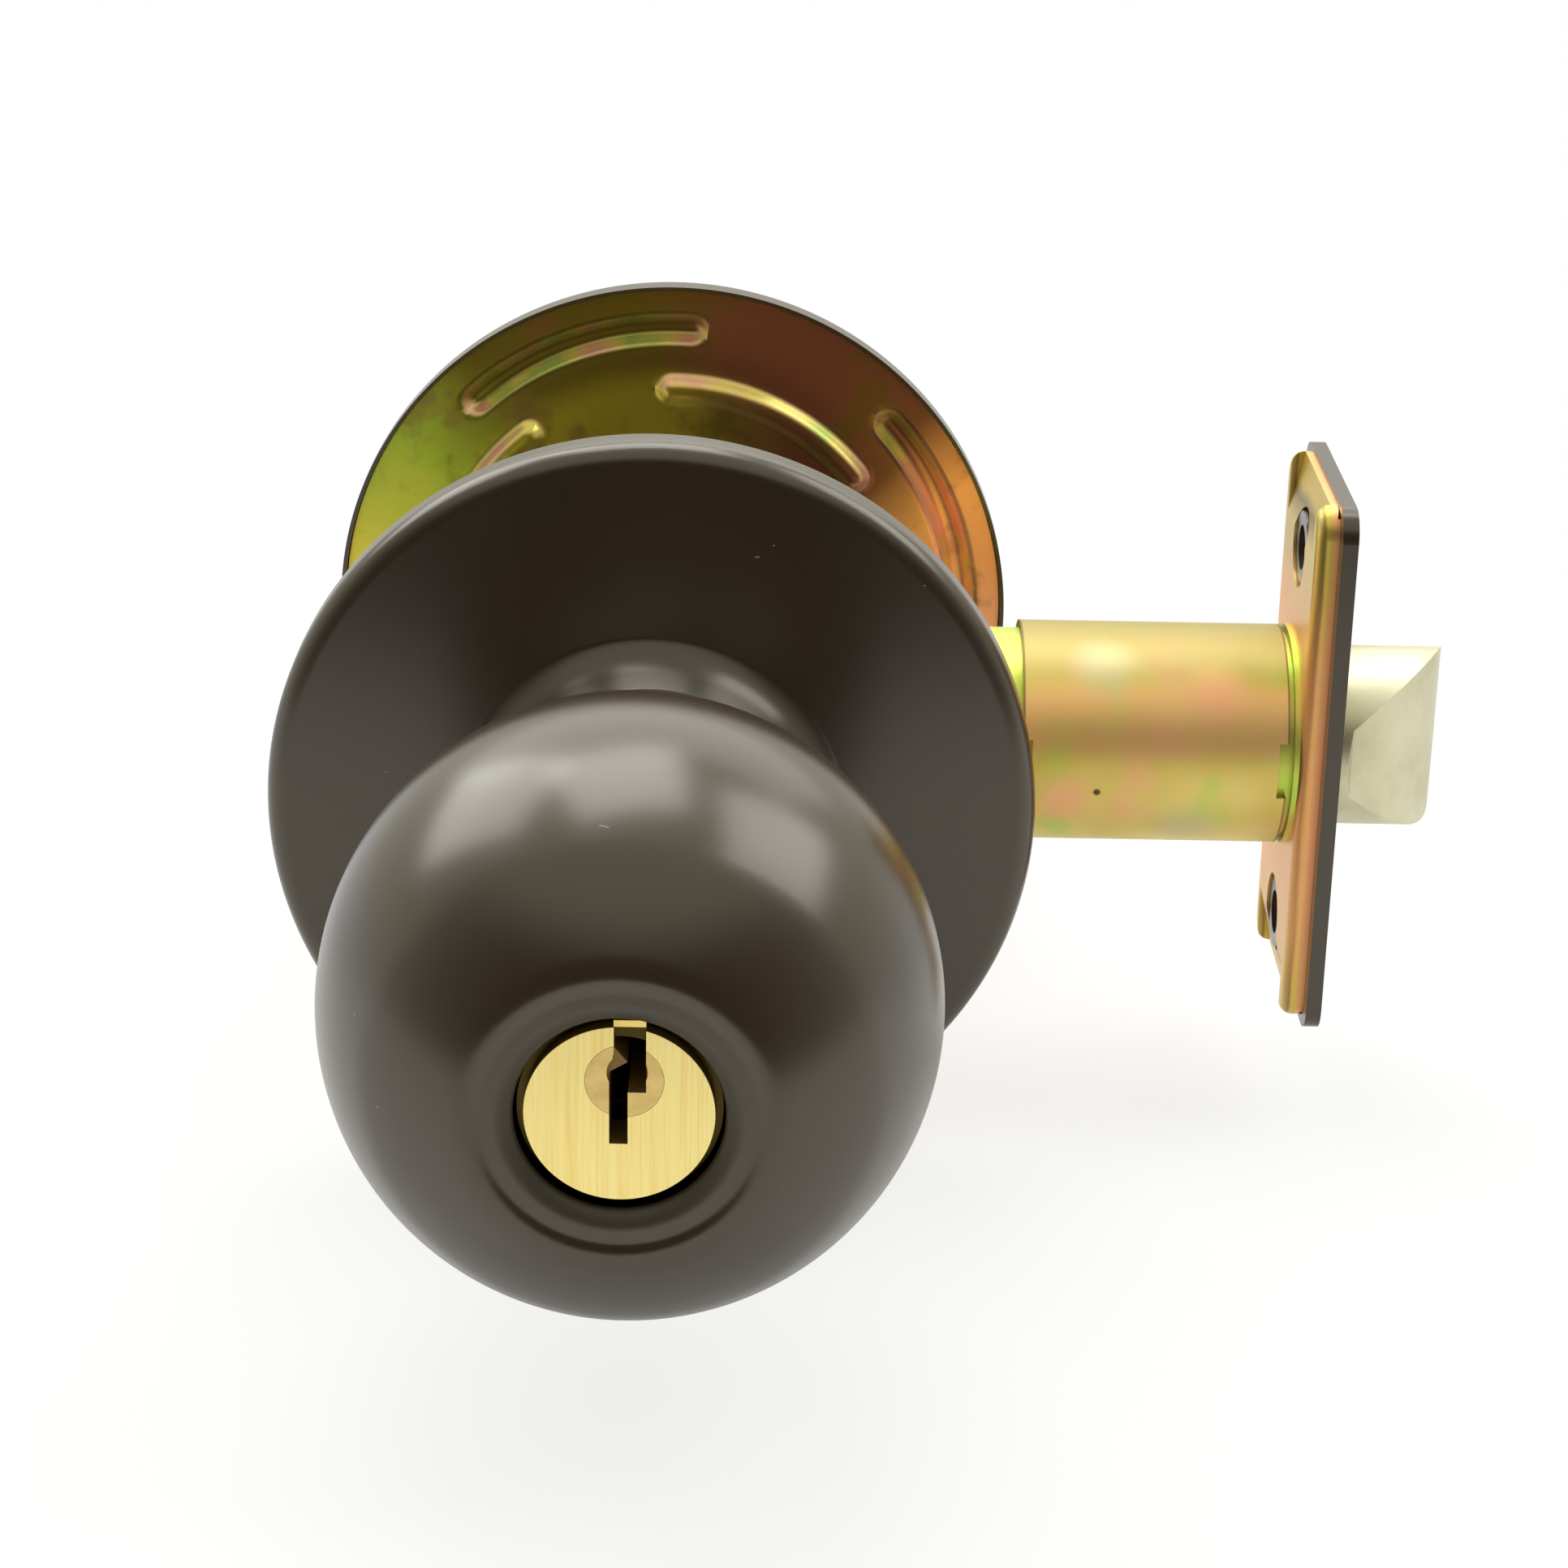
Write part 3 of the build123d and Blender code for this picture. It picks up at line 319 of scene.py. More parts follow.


# Yellow chromate on case and latch: gold with soft stains, greener on the inner tube, with painted
# shade along the top of the latch's outer tube
chromateLooks = {
    "caseChromate": {
        "main": paint(214, 190, 96),
        "pale": paint(230, 208, 126),
        "roughness": 0.38,
        "metal": 0.6,
    },
    "sleeveChromate": {
        "main": paint(214, 188, 94),
        "pale": paint(226, 204, 118),
        "roughness": 0.4,
        "metal": 0.55,
    },
    "tubeChromate": {
        "main": paint(176, 206, 74),
        "pale": paint(222, 208, 112),
        "roughness": 0.36,
        "metal": 0.7,
    },
    "panChromate": {
        "main": paint(206, 180, 78),
        "pale": paint(226, 206, 130),
        "roughness": 0.34,
        "metal": 0.7,
    },
}
chromateStains = {
    "pink": paint(242, 176, 132),
    "green": paint(176, 208, 84),
    "grey": paint(196, 190, 150),
    # painted shade for the top of the latch's outer tube
    "topShade": paint(156, 142, 84),
    "coral": paint(255, 172, 122),
    "mark": paint(88, 66, 34),
    "line": paint(96, 78, 28),
    "cloud": (75, 2.0, 0.5),
    "cloudShift": (0.013, 0.02, 0.004),
    "cloudFade": (0.35, 0.65),
    "patch": (110, 2.0, 0.5),
    "patchShift": (0.3, 0.12, 0.2),
    "pinkFade": (0.54, 0.72),
    "greenFade": (0.42, 0.3),
    "stainShare": 0.6,
    "scratch": (70, 3.0, 0.6),
    "scratchShift": (0.02, 0, 0),
    "scratchStretch": (22, 1, 1),
    "scratchFade": (0.66, 0.74),
    "scratchShare": 0.35,
    "cloudRoughness": 0.08,
    "grain": (1500, 2.0),
    "bump": (0.03, 0.00005),
}
sleeveStains = {  # places on the outer tube of the latch
    "blush": (0.5, 3.0, 7.2, 9.0),
    "blushShare": 0.5,
    # painted shade along the top, which tones the highlight down
    "topShade": (7.0, 10.5),
    "topShadeShare": 0.85,
    "pink": ((57.5, -8.5, 7.0), (42.0, -10.6, -3.6)),
    "pinkReach": (0.5, 4.6),
    "pinkShare": 0.75,
    "grey": ((46.0, -6.5, 9.5), (55.0, -9.0, -7.5)),
    "greyReach": (0.5, 5.0),
    "greyShare": 0.6,
    "mark": (45.4, -11.2, -2.6),
    "markReach": (0.25, 0.5),
    "ends": (37.6, 64.95),
    "endWidth": 0.2,
    "endShare": 0.7,
}
panStains = {  # places on the pan behind the faceplate
    "back": 66.05,
    "front": 68.25,
    "sway": (60, 2.0),
    "swayShare": 0.5,
    "lineAt": 0.3,
    "mainAt": (0.42, 0.6),
    "coralAt": 0.78,
    "bandShare": 0.75,
    "flush": (-30.0, -14.0, 10.0, 24.0),
    "flushShare": 0.6,
}


def stainSleeve(work, x, z, colour):
    stains = sleeveStains
    paints = chromateStains
    blush = work.band(z, *metres(stains["blush"]))
    colour = work.mix(stains["blushShare"] * blush, colour, paints["pink"])
    # painted shade along the top of the tube
    topShade = work.fade(z, *metres(stains["topShade"]))
    colour = work.mix(stains["topShadeShare"] * topShade, colour, paints["topShade"])
    for shade in ("pink", "grey"):
        for centre in stains[shade]:
            spot = work.spot(centre, stains[shade + "Reach"])
            colour = work.mix(stains[shade + "Share"] * spot, colour, paints[shade])
    colour = work.mix(work.spot(stains["mark"], stains["markReach"]), colour, paints["mark"])
    start, stop = metres(stains["ends"])
    width = stains["endWidth"] * mm
    ends = work.maths("MAXIMUM", x < start + width, x > stop - width)
    return work.mix(stains["endShare"] * ends, colour, paints["line"])


def stainPan(work, x, z, look, colour):
    stains = panStains
    paints = chromateStains
    across = (x - stains["back"] * mm) / ((stains["front"] - stains["back"]) * mm)
    across = across + stains["swayShare"] * work.sway(*stains["sway"])
    mainFrom, mainTo = stains["mainAt"]
    bands = work.ramp(
        across,
        (0.0, look["pale"]),
        (stains["lineAt"], paints["line"]),
        (mainFrom, look["main"]),
        (mainTo, look["main"]),
        (stains["coralAt"], paints["coral"]),
        (1.0, paints["coral"]),
    )
    colour = work.mix(stains["bandShare"], colour, bands)
    flush = work.band(z, *metres(stains["flush"]))
    return work.mix(stains["flushShare"] * flush, colour, paints["coral"])


def makeChromate(name):
    look = chromateLooks[name]
    stains = chromateStains
    work = Finish(name)
    x, _, z = work.split(work.place)
    cloud = work.noise(*stains["cloud"], work.moved(stains["cloudShift"]))
    patch = work.noise(*stains["patch"], work.moved(stains["patchShift"]))
    colour = work.mix(work.fade(cloud, *stains["cloudFade"]), look["main"], look["pale"])
    for shade in ("pink", "green"):
        stained = stains["stainShare"] * work.fade(patch, *stains[shade + "Fade"])
        colour = work.mix(stained, colour, stains[shade])
    if name == "sleeveChromate":
        colour = stainSleeve(work, x, z, colour)
    if name == "panChromate":
        colour = stainPan(work, x, z, look, colour)
    drawn = work.moved(stains["scratchShift"], stains["scratchStretch"])
    scratch = work.fade(work.noise(*stains["scratch"], drawn), *stains["scratchFade"])
    colour = work.mix(stains["scratchShare"] * scratch, colour, look["pale"])
    roughness = look["roughness"] + stains["cloudRoughness"] * cloud
    normal = work.bump(work.noise(*stains["grain"]), *stains["bump"])
    metal = look["metal"]
    return work.finish(Base_Color=colour, Metallic=metal, Roughness=roughness, Normal=normal)


# Strong chromate on the mounting plate: its colours run round the disc, with a painted highlight in
# pale film colours on the rib walls that face upwards
rainbowLook = {
    "olive": paint(112, 98, 42),
    "inner": paint(206, 186, 66),
    "yellow": paint(238, 212, 84),
    "green": paint(166, 190, 70),
    "purple": paint(132, 86, 72),
    "orange": paint(252, 178, 132),
    "pink": paint(255, 190, 160),
    "gold": paint(250, 228, 120),
    "leaf": paint(190, 214, 110),
    "bands": (  # share of a turn from the latch side upwards, and the colour there
        (0.0, "orange"),
        (0.06, "orange"),
        (0.1, "purple"),
        (0.22, "purple"),
        (0.27, "olive"),
        (0.35, "olive"),
        (0.41, "green"),
        (0.49, "yellow"),
        (0.62, "green"),
        (0.78, "olive"),
        (0.9, "yellow"),
        (1.0, "orange"),
    ),
    "sway": (45, 2.0),
    "swayShare": 0.1,
    "innerRadius": (25.0, 30.0),
    "innerFade": (-4.0, 16.0),
    "innerShare": 0.75,
    "blotch": (110, 4.0, 0.6),
    "blotchShift": (0.1, 0.3, 0.2),
    "oliveFade": (0.53, 0.66),
    "oliveShare": 0.6,
    "purpleFade": (0.45, 0.33),
    "purpleShare": 0.5,
    "flatFrom": (0.62, 0.94),
    "upFrom": (-0.25, 0.3),
    "downShare": 0.4,
    "film": (130, 2.0, 0.5),
    "filmShift": (0.4, 0.1, 0.6),
    # pale film colours on the rib walls, partly their own tint and partly a painted highlight
    "pearlHighlight": ((0.36, "leaf"), (0.46, "gold"), (0.58, "pink")),
    "pearlHighlightShare": 0.85,
    "roughness": 0.36,
    "tiltRoughness": 0.15,
    "metal": 0.8,
    "tiltMetal": 0.32,
    "grain": (1200, 2.0),
    "bump": (0.03, 0.00005),
}


def makeRainbowChromate():
    look = rainbowLook
    work = Finish("rainbowChromate")
    x, _, z = work.split(work.place)
    angle = work.maths("ARCTAN2", z, x) / (2 * pi)
    wavy = angle + 1.0 + look["swayShare"] * work.sway(*look["sway"])  # the 1 keeps it above 0
    turn = work.maths("FRACT", wavy)
    colour = work.ramp(turn, *[(place, look[shade]) for place, shade in look["bands"]])
    inner = 1 - work.fade(work.span(x, z), *metres(look["innerRadius"]))
    leftward = 1 - work.fade(x, *metres(look["innerFade"]))
    colour = work.mix(look["innerShare"] * inner * leftward, colour, look["inner"])
    blotch = work.noise(*look["blotch"], work.moved(look["blotchShift"]))
    for shade in ("olive", "purple"):
        stained = look[shade + "Share"] * work.fade(blotch, *look[shade + "Fade"])
        colour = work.mix(stained, colour, look[shade])
    _, facing, upward = work.split(work.node("ShaderNodeTexCoord", output=1))
    tilted = 1 - work.fade(work.maths("ABSOLUTE", facing), *look["flatFrom"])  # walls of the ribs
    # painted highlight: the pale colours grow stronger on walls that face upwards
    lit = look["downShare"] + (1 - look["downShare"]) * work.fade(upward, *look["upFrom"])
    tilted = tilted * lit
    film = work.noise(*look["film"], work.moved(look["filmShift"]))
    pearlHighlight = work.ramp(film, *[(place, look[shade]) for place, shade in look["pearlHighlight"]])
    colour = work.mix(look["pearlHighlightShare"] * tilted, colour, pearlHighlight)
    normal = work.bump(work.noise(*look["grain"]), *look["bump"])
    roughness = look["roughness"] - look["tiltRoughness"] * tilted
    metal = look["metal"] - look["tiltMetal"] * tilted
    return work.finish(Base_Color=colour, Metallic=metal, Roughness=roughness, Normal=normal)


# Brushed brass of the plug, with its strokes up and down, and painted shade on it behind the face
plugBrassLook = {
    "bright": paint(255, 236, 158),
    "deep": paint(244, 214, 128),
    "pit": paint(160, 126, 66),
    "paintedShade": paint(110, 78, 30),
    "strokes": (1.0, 4.0, 0.6),
    "strokeStretch": (5200, 800, 90),
    "strokeShare": 0.6,
    "bands": (1.0, 2.0, 0.5),
    "bandStretch": (900, 200, 14),
    "bandShare": 0.4,
    "brightFade": (0.3, 0.6),
    "pits": (800, 0.022),
    "face": -90.22,
    "darkShare": 0.92,
    "darkMetal": 0.4,
    "roughness": 0.36,
    "strokeRoughness": 0.08,
    "bump": (0.14, 0.00004),
}


def makePlugBrass():
    look = plugBrassLook
    work = Finish("plugBrass")
    _, y, _ = work.split(work.place)
    strokes = work.noise(*look["strokes"], work.moved(stretch=look["strokeStretch"]))
    bands = work.noise(*look["bands"], work.moved(stretch=look["bandStretch"]))
    brushed = look["strokeShare"] * strokes + look["bandShare"] * bands
    colour = work.mix(work.fade(brushed, *look["brightFade"]), look["deep"], look["bright"])
    colour = work.mix(work.specks(*look["pits"]), colour, look["pit"])
    # painted shade on the plug's sides and keyway behind its face
    behind = y > look["face"] * mm
    colour = work.mix(look["darkShare"] * behind, colour, look["paintedShade"])
    normal = work.bump(strokes, *look["bump"])
    roughness = look["roughness"] + look["strokeRoughness"] * strokes
    metal = 1 - (1 - look["darkMetal"]) * behind
    return work.finish(Base_Color=colour, Metallic=metal, Roughness=roughness, Normal=normal)


# Metals with one tone, a little mottled and grained; some have painted shade behind their front
# face, or a thread with painted shade in its grooves
plainMetals = {
    "pinBrass": {
        "tone": paint(206, 170, 96),
        "shade": paint(170, 130, 66),
        "scale": 260,
        "roughness": 0.3,
    },
    "insertSteel": {
        "tone": paint(240, 208, 140),
        "shade": paint(220, 190, 118),
        "scale": 500,
        "roughness": 0.46,
    },
    "boltNickel": {
        "tone": paint(208, 204, 176),
        "shade": paint(192, 186, 154),
        "scale": 110,
        "roughness": 0.42,
    },
    "castZinc": {
        "tone": paint(176, 178, 178),
        "shade": paint(136, 138, 140),
        "scale": 180,
        "roughness": 0.5,
    },
    "plainSteel": {
        "tone": paint(196, 198, 198),
        "shade": paint(158, 160, 162),
        "scale": 150,
        "roughness": 0.32,
    },
    "springSteel": {
        "tone": paint(168, 170, 174),
        "shade": paint(110, 110, 114),
        "scale": 500,
        "roughness": 0.28,
    },
    "cylinderBrass": {
        "tone": paint(255, 226, 132),
        "shade": paint(232, 196, 104),
        "scale": 300,
        "roughness": 0.34,
        # painted shade on the body behind its front face
        "paintedShade": paint(40, 28, 14),
        "darkBehind": -90.2,
        "darkShare": 0.94,
    },
    "threadedSteel": {
        "tone": paint(200, 192, 150),
        "shade": paint(160, 156, 120),
        "scale": 160,
        "roughness": 0.34,
        # painted shade in the grooves of the thread
        "paintedShade": paint(74, 68, 48),
        "darkShare": 0.8,
        "threadFrom": 11.3,
        "threadTo": 12.2,
        "threadPitch": 1.1,
        "threadBump": (1.0, 0.0005),
    },
}
metalGrain = {  # what all of them share
    "mottleDetail": 4.0,
    "mottleRoughness": 0.6,
    "toneFade": (0.3, 0.7),
    "grainFiner": 9,
    "grainDetail": 2.0,
    "grainRoughness": 0.12,
    "bump": (0.1, 0.00006),
}


def makePlainMetal(name):
    look = plainMetals[name]
    shared = metalGrain
    work = Finish(name)
    x, y, z = work.split(work.place)
    mottle = work.noise(look["scale"], shared["mottleDetail"], shared["mottleRoughness"])
    grain = work.noise(look["scale"] * shared["grainFiner"], shared["grainDetail"])
    colour = work.mix(work.fade(mottle, *shared["toneFade"]), look["shade"], look["tone"])
    roughness = look["roughness"] + shared["grainRoughness"] * (grain - 0.5)
    normal = work.bump(grain + mottle, *shared["bump"])
    # painted shade behind the front face
    if "darkBehind" in look:
        behind = y > look["darkBehind"] * mm
        colour = work.mix(look["darkShare"] * behind, colour, look["paintedShade"])
    if "threadPitch" in look:
        radius = work.span(x, z)
        cut = (radius > look["threadFrom"] * mm) * (radius < look["threadTo"] * mm)
        turns = work.maths("ARCTAN2", z, x) / (2 * pi) + y / (look["threadPitch"] * mm)
        crest = work.maths("PINGPONG", turns, 0.5) * 2.0  # 0 in the groove, 1 on the thread
        # painted shade in the thread's grooves
        colour = work.mix(look["darkShare"] * cut * (1 - crest), colour, look["paintedShade"])
        normal = work.bump(cut * crest, *look["threadBump"])
    return work.finish(Base_Color=colour, Metallic=1.0, Roughness=roughness, Normal=normal)


finishes = {
    "dark_bronze": makeDarkBronze(),
    "gold_chromate": makeChromate("caseChromate"),
    "rainbow_chromate": makeRainbowChromate(),
    "plug_brass": makePlugBrass(),
    "pin_brass": makePlainMetal("pinBrass"),
    "insert_steel": makePlainMetal("insertSteel"),
    "bolt_nickel": makePlainMetal("boltNickel"),
    "cast_zinc": makePlainMetal("castZinc"),
    "plain_steel": makePlainMetal("plainSteel"),
    "spring_steel": makePlainMetal("springSteel"),
}
threadedSteel = makePlainMetal("threadedSteel")
ownFinishes = {  # nodes whose metal differs from the rest of their slot
    "latch_sleeve": makeChromate("sleeveChromate"),
    "latch_tube": makeChromate("tubeChromate"),
    "latch_backplate": makeChromate("panChromate"),
    "cylinder_body": makePlainMetal("cylinderBrass"),
    "outside_hub": threadedSteel,
    "inside_hub": threadedSteel,
}
for part in frame["record"]["subparts"]:
    node = nodes[part["node"]]
    node.data.materials.clear()
    node.data.materials.append(ownFinishes.get(part["node"], finishes[part["material_slot"]]))
print("finishes on", len(nodes), "nodes")


# Turned pieces: an outline of (radius, distance from the door's middle), in millimetres
def arc(centre, radius, start, stop, steps):  # angles run from the outward axis
    angles = [start + (stop - start) * step / steps for step in range(steps + 1)]
    return [(centre[0] + radius * sin(angle), centre[1] + radius * cos(angle)) for angle in angles]


def turn(name, outline, side, steps):  # turns it about Y, towards -Y or +Y as side says
    count = len(outline)
    vertices = []
    faces = []
    for step in range(steps):
        angle = 2 * pi * step / steps
        for radius, reach in outline:
            vertices.append((radius * cos(angle) * mm, side * reach * mm, radius * sin(angle) * mm))
    for step in range(steps):
        following = (step + 1) % steps
        for place in range(count):
            after = (place + 1) % count
            corners = (step * count + place, step * count + after)
            faces.append(corners + (following * count + after, following * count + place))
    mesh = bpy.data.meshes.new(name)
    mesh.from_pydata(vertices, [], faces)
    faceOutward(mesh)
    return mesh


def tiltAt(slopes, radius):  # runs evenly between the named slopes
    for (outer, first), (inner, second) in zip(slopes, slopes[1:]):
        if radius >= inner:
            share = (outer - radius) / (outer - inner)
            return radians(first + (second - first) * share)
    return 0.0


def walkInward(outline, slopes, stop, longest):  # carries the outline on along those slopes
    place, reach = outline[-1]
    steps = round((place - stop) / longest)
    step = (place - stop) / steps
    for number in range(steps):
        reach += step * tan(tiltAt(slopes, place - step / 2))
        place -= step
        outline.append((place, reach))
    return reach


# Knobs: a hollow ball on a neck, rolled in at the front to a flat ring and a lip round the hole
knob = {
    "centre": 69.15,
    "radius": 27.5,
    "wall": 1.5,
    "neckRadius": 13.6,
    "neckBore": 12.03,
    "neckEnd": 27.225,
    "frontSlopes": (  # radius, and the tilt of the surface there in degrees
        (22.5, 54.9),
        (21.0, 44.0),
        (19.0, 37.0),
        (16.5, 31.0),
        (14.9, 27.5),
        (13.6, 18.0),
        (12.7, 0.0),
        (11.9, -22.0),
        (11.3, 0.0),
    ),
    "frontStep": 0.1,
    "floor": 90.1,
    "lipWidth": 1.7,
    "lipDrop": 1.25,
    "catchPlace": 36.525,
    "catchWide": 4.6,
    "catchLong": 3.6,
    "catchSpare": 2.0,
    "ballSteps": 56,
    "lipSteps": 14,
    "boreSteps": 30,
    "steps": 192,
}
knobSides = {
    "outside": {"side": -1, "hole": 8.76, "body": "outside_handle"},
    "inside": {"side": 1, "hole": 6.76, "body": "inside_handle"},
}


def knobOutline(hole):
    middle = (0, knob["centre"])
    radius = knob["radius"]
    bore = radius - knob["wall"]
    neck = pi - asin(knob["neckRadius"] / radius)
    front = asin(knob["frontSlopes"][0][0] / radius)
    outline = [(knob["neckRadius"], knob["neckEnd"])]
    outline += arc(middle, radius, neck, front, knob["ballSteps"])
    lipStart = hole + knob["lipWidth"]
    reach = walkInward(outline, knob["frontSlopes"], lipStart, knob["frontStep"])
    for number in range(1, knob["lipSteps"] + 1):
        angle = pi / 2 * number / knob["lipSteps"]
        drop = knob["lipDrop"] * (1 - cos(angle))
        outline.append((lipStart - knob["lipWidth"] * sin(angle), reach - drop))
    inner = asin(sqrt(bore ** 2 - (knob["floor"] - knob["centre"]) ** 2) / bore)
    outline.append((hole, knob["floor"]))
    outline += arc(middle, bore, inner, pi - asin(knob["neckBore"] / bore), knob["boreSteps"])
    return outline + [(knob["neckBore"], knob["neckEnd"])]


def cutWindow(mesh, side):  # the slot in the neck that the catch stands in
    wide = knob["catchWide"] / 2 * mm
    place = side * knob["catchPlace"] * mm
    low = -(knob["neckRadius"] + knob["catchSpare"]) * mm
    middle = Vector((0, place, low / 2))
    size = Vector((2 * wide, knob["catchLong"] * mm, -low))
    work = bmesh.new()
    bmesh.ops.create_cube(work, matrix=Matrix.Translation(middle) @ Matrix.Diagonal(size).to_4x4())
    blockMesh = bpy.data.meshes.new("windowBlock")
    work.to_mesh(blockMesh)
    work.free()
    block = bpy.data.objects.new("windowBlock", blockMesh)
    holder = bpy.data.objects.new("windowHolder", mesh)
    for item in (block, holder):
        bpy.context.scene.collection.objects.link(item)
    cut = holder.modifiers.new("window", "BOOLEAN")
    cut.object = block
    cut.operation = "DIFFERENCE"
    cut.solver = "EXACT"
    opened = plainMesh(holder)
    bpy.data.objects.remove(block)
    return opened


for name, spec in knobSides.items():
    shell = turn(name + "KnobShell", knobOutline(spec["hole"]), spec["side"], knob["steps"])
    shell = cutWindow(shell, spec["side"])
    addPiece(name + "KnobShell", shell, spec["body"], "dark_bronze", name + "_knob")
print("knobs made")


# Roses: thin pressed covers, the face rising in a flare to the collar round the neck
rose = {
    "radius": 38.1,
    "rimHeight": 4.3,
    "rimRound": 2.2,
    "faceRise": 0.9,
    "flareSlopes": (  # radius, and the tilt of the surface there in degrees
        (19.5, 2.8),
        (18.9, 28.0),
        (18.2, 42.0),
        (17.4, 52.0),
        (16.6, 60.0),
        (15.6, 62.0),
    ),
    "flareStep": 0.1,
    "collarBore": 13.9,
    "collarRound": 0.3,
    "innerRise": 0.8,
    "rimSteps": 14,
    "collarSteps": 5,
    "steps": 256,
}
roseSides = {
    "outside": {"side": -1, "rim": 22.225, "wall": 0.8, "body": "outside_trim"},
    "inside": {"side": 1, "rim": 35.548, "wall": 0.45, "body": "inside_trim"},
}


def roseOutline(rim, wall):
    radius = rose["radius"]
    faceOuter = rim + rose["rimHeight"]
    faceInner = faceOuter + rose["faceRise"]
    flareStart = rose["flareSlopes"][0][0]
    collar, lean = rose["flareSlopes"][-1]
    slope = atan2(rose["faceRise"], radius - flareStart)
    soft = rose["rimRound"]
    roundCentre = (radius - soft, faceOuter - soft * tan(pi / 4 - slope / 2))
    outline = [(radius, rim)] + arc(roundCentre, soft, pi / 2, slope, rose["rimSteps"])
    outline.append((flareStart, faceInner))
    reach = walkInward(outline, rose["flareSlopes"], collar, rose["flareStep"])
    turned = radians(lean)
    tight = rose["collarRound"]
    tightCentre = (collar - tight * sin(turned), reach - tight * cos(turned))
    outline += arc(tightCentre, tight, turned, 0, rose["collarSteps"])[1:]
    bore = rose["collarBore"]
    outline += [(bore, outline[-1][1]), (bore, faceInner + rose["innerRise"])]
    outline += [(flareStart, faceInner - wall), (radius - soft, faceOuter - wall)]
    outline += [(radius - wall, faceOuter - soft), (radius - wall, rim)]
    return outline


for name, spec in roseSides.items():
    outline = roseOutline(spec["rim"], spec["wall"])
    shell = turn(name + "RoseShell", outline, spec["side"], rose["steps"])
    addPiece(name + "RoseShell", shell, spec["body"], "dark_bronze", name + "_rose")
print("roses made")


# Mounting plate: a disc with four grooves pressed in near its edge and four ridges pressed out
plate = {
    "Inner radius": 13.9 * mm,
    "Outer radius": 37.55 * mm,
    "Face": 36.648 * mm,
    "Thickness": 1.2 * mm,
    "Groove radius": 33.0 * mm,
    "Groove span": radians(46),
    "Groove middle": radians(19.5),
    "Ridge radius": 26.2 * mm,
    "Ridge span": radians(52),
    "Ridge middle": radians(64.5),
    "Rib depth": 1.55 * mm,
    "Rib half width": 2.1 * mm,
    "Rib top": 0.15,  # share of the half width that is level
    "Seam": 0.001 * mm,  # points nearer than this are joined
    "Steps round": 384,
    "Steps across": 84,
    "Finish": finishes["rainbow_chromate"],
}


def ribShape(work, radius, angle, kind):  # 1 along the ribs of one kind, 0 away from them
    quarter = pi / 2
    place = work.inputs[kind + " radius"]
    turned = angle - work.inputs[kind + " middle"] + quarter / 2
    turned = work.maths("FLOORED_MODULO", turned, quarter)
    beyond = work.maths("ABSOLUTE", turned - quarter / 2) - work.inputs[kind + " span"] / 2
    beyond = work.maths("MAXIMUM", beyond, 0.0) * place
    across = radius - place
    away = work.maths("SQRT", across * across + beyond * beyond)
    half = work.inputs["Rib half width"]
    return 1 - work.fade(away, work.inputs["Rib top"] * half, half)


def makePlate():
    work = Shaper("pressedPlate", plate)
    inputs = work.inputs
    rows = inputs["Steps across"]
    sockets = {"Size X": 1.0, "Size Y": 1.0, "Vertices X": inputs["Steps round"] + 1}
    sockets["Vertices Y"] = 2 * rows + 1
    sheet = work.node("GeometryNodeMeshGrid", None, sockets)
    x, y, _ = work.split(work.node("GeometryNodeInputPosition"))
    angle = (x + 0.5) * (2 * pi)
    row = work.maths("ROUND", (y + 0.5) * (2 * rows))
    row = row - 2 * rows * (row > 2 * rows - 0.5)
    front = row < rows - 0.5  # the first rows run outwards on the front, the others back behind it
    out = front * row + (1 - front) * (2 * rows - 1 - row)
    width = inputs["Outer radius"] - inputs["Inner radius"]
    radius = inputs["Inner radius"] + out / (rows - 1) * width
    pressed = ribShape(work, radius, angle, "Groove") - ribShape(work, radius, angle, "Ridge")
    depth = inputs["Face"] + inputs["Rib depth"] * pressed + (1 - front) * inputs["Thickness"]
    across = radius * work.maths("COSINE", angle)
    rise = radius * work.maths("SINE", angle)
    place = work.node("ShaderNodeCombineXYZ", None, {0: across, 1: depth, 2: rise})
    shape = work.node("GeometryNodeSetPosition", None, {"Geometry": sheet, "Position": place})
    sockets = {"Geometry": shape, "Distance": inputs["Seam"]}
    shape = work.node("GeometryNodeMergeByDistance", None, sockets)
    shape = work.node("GeometryNodeFlipFaces", None, {0: shape})
    work.close(shape, inputs["Finish"])
    return work.mesh("pressedPlate")


addPiece("pressedPlate", makePlate(), "inside_trim", "rainbow_chromate", "mounting_plate")
print("plate made")


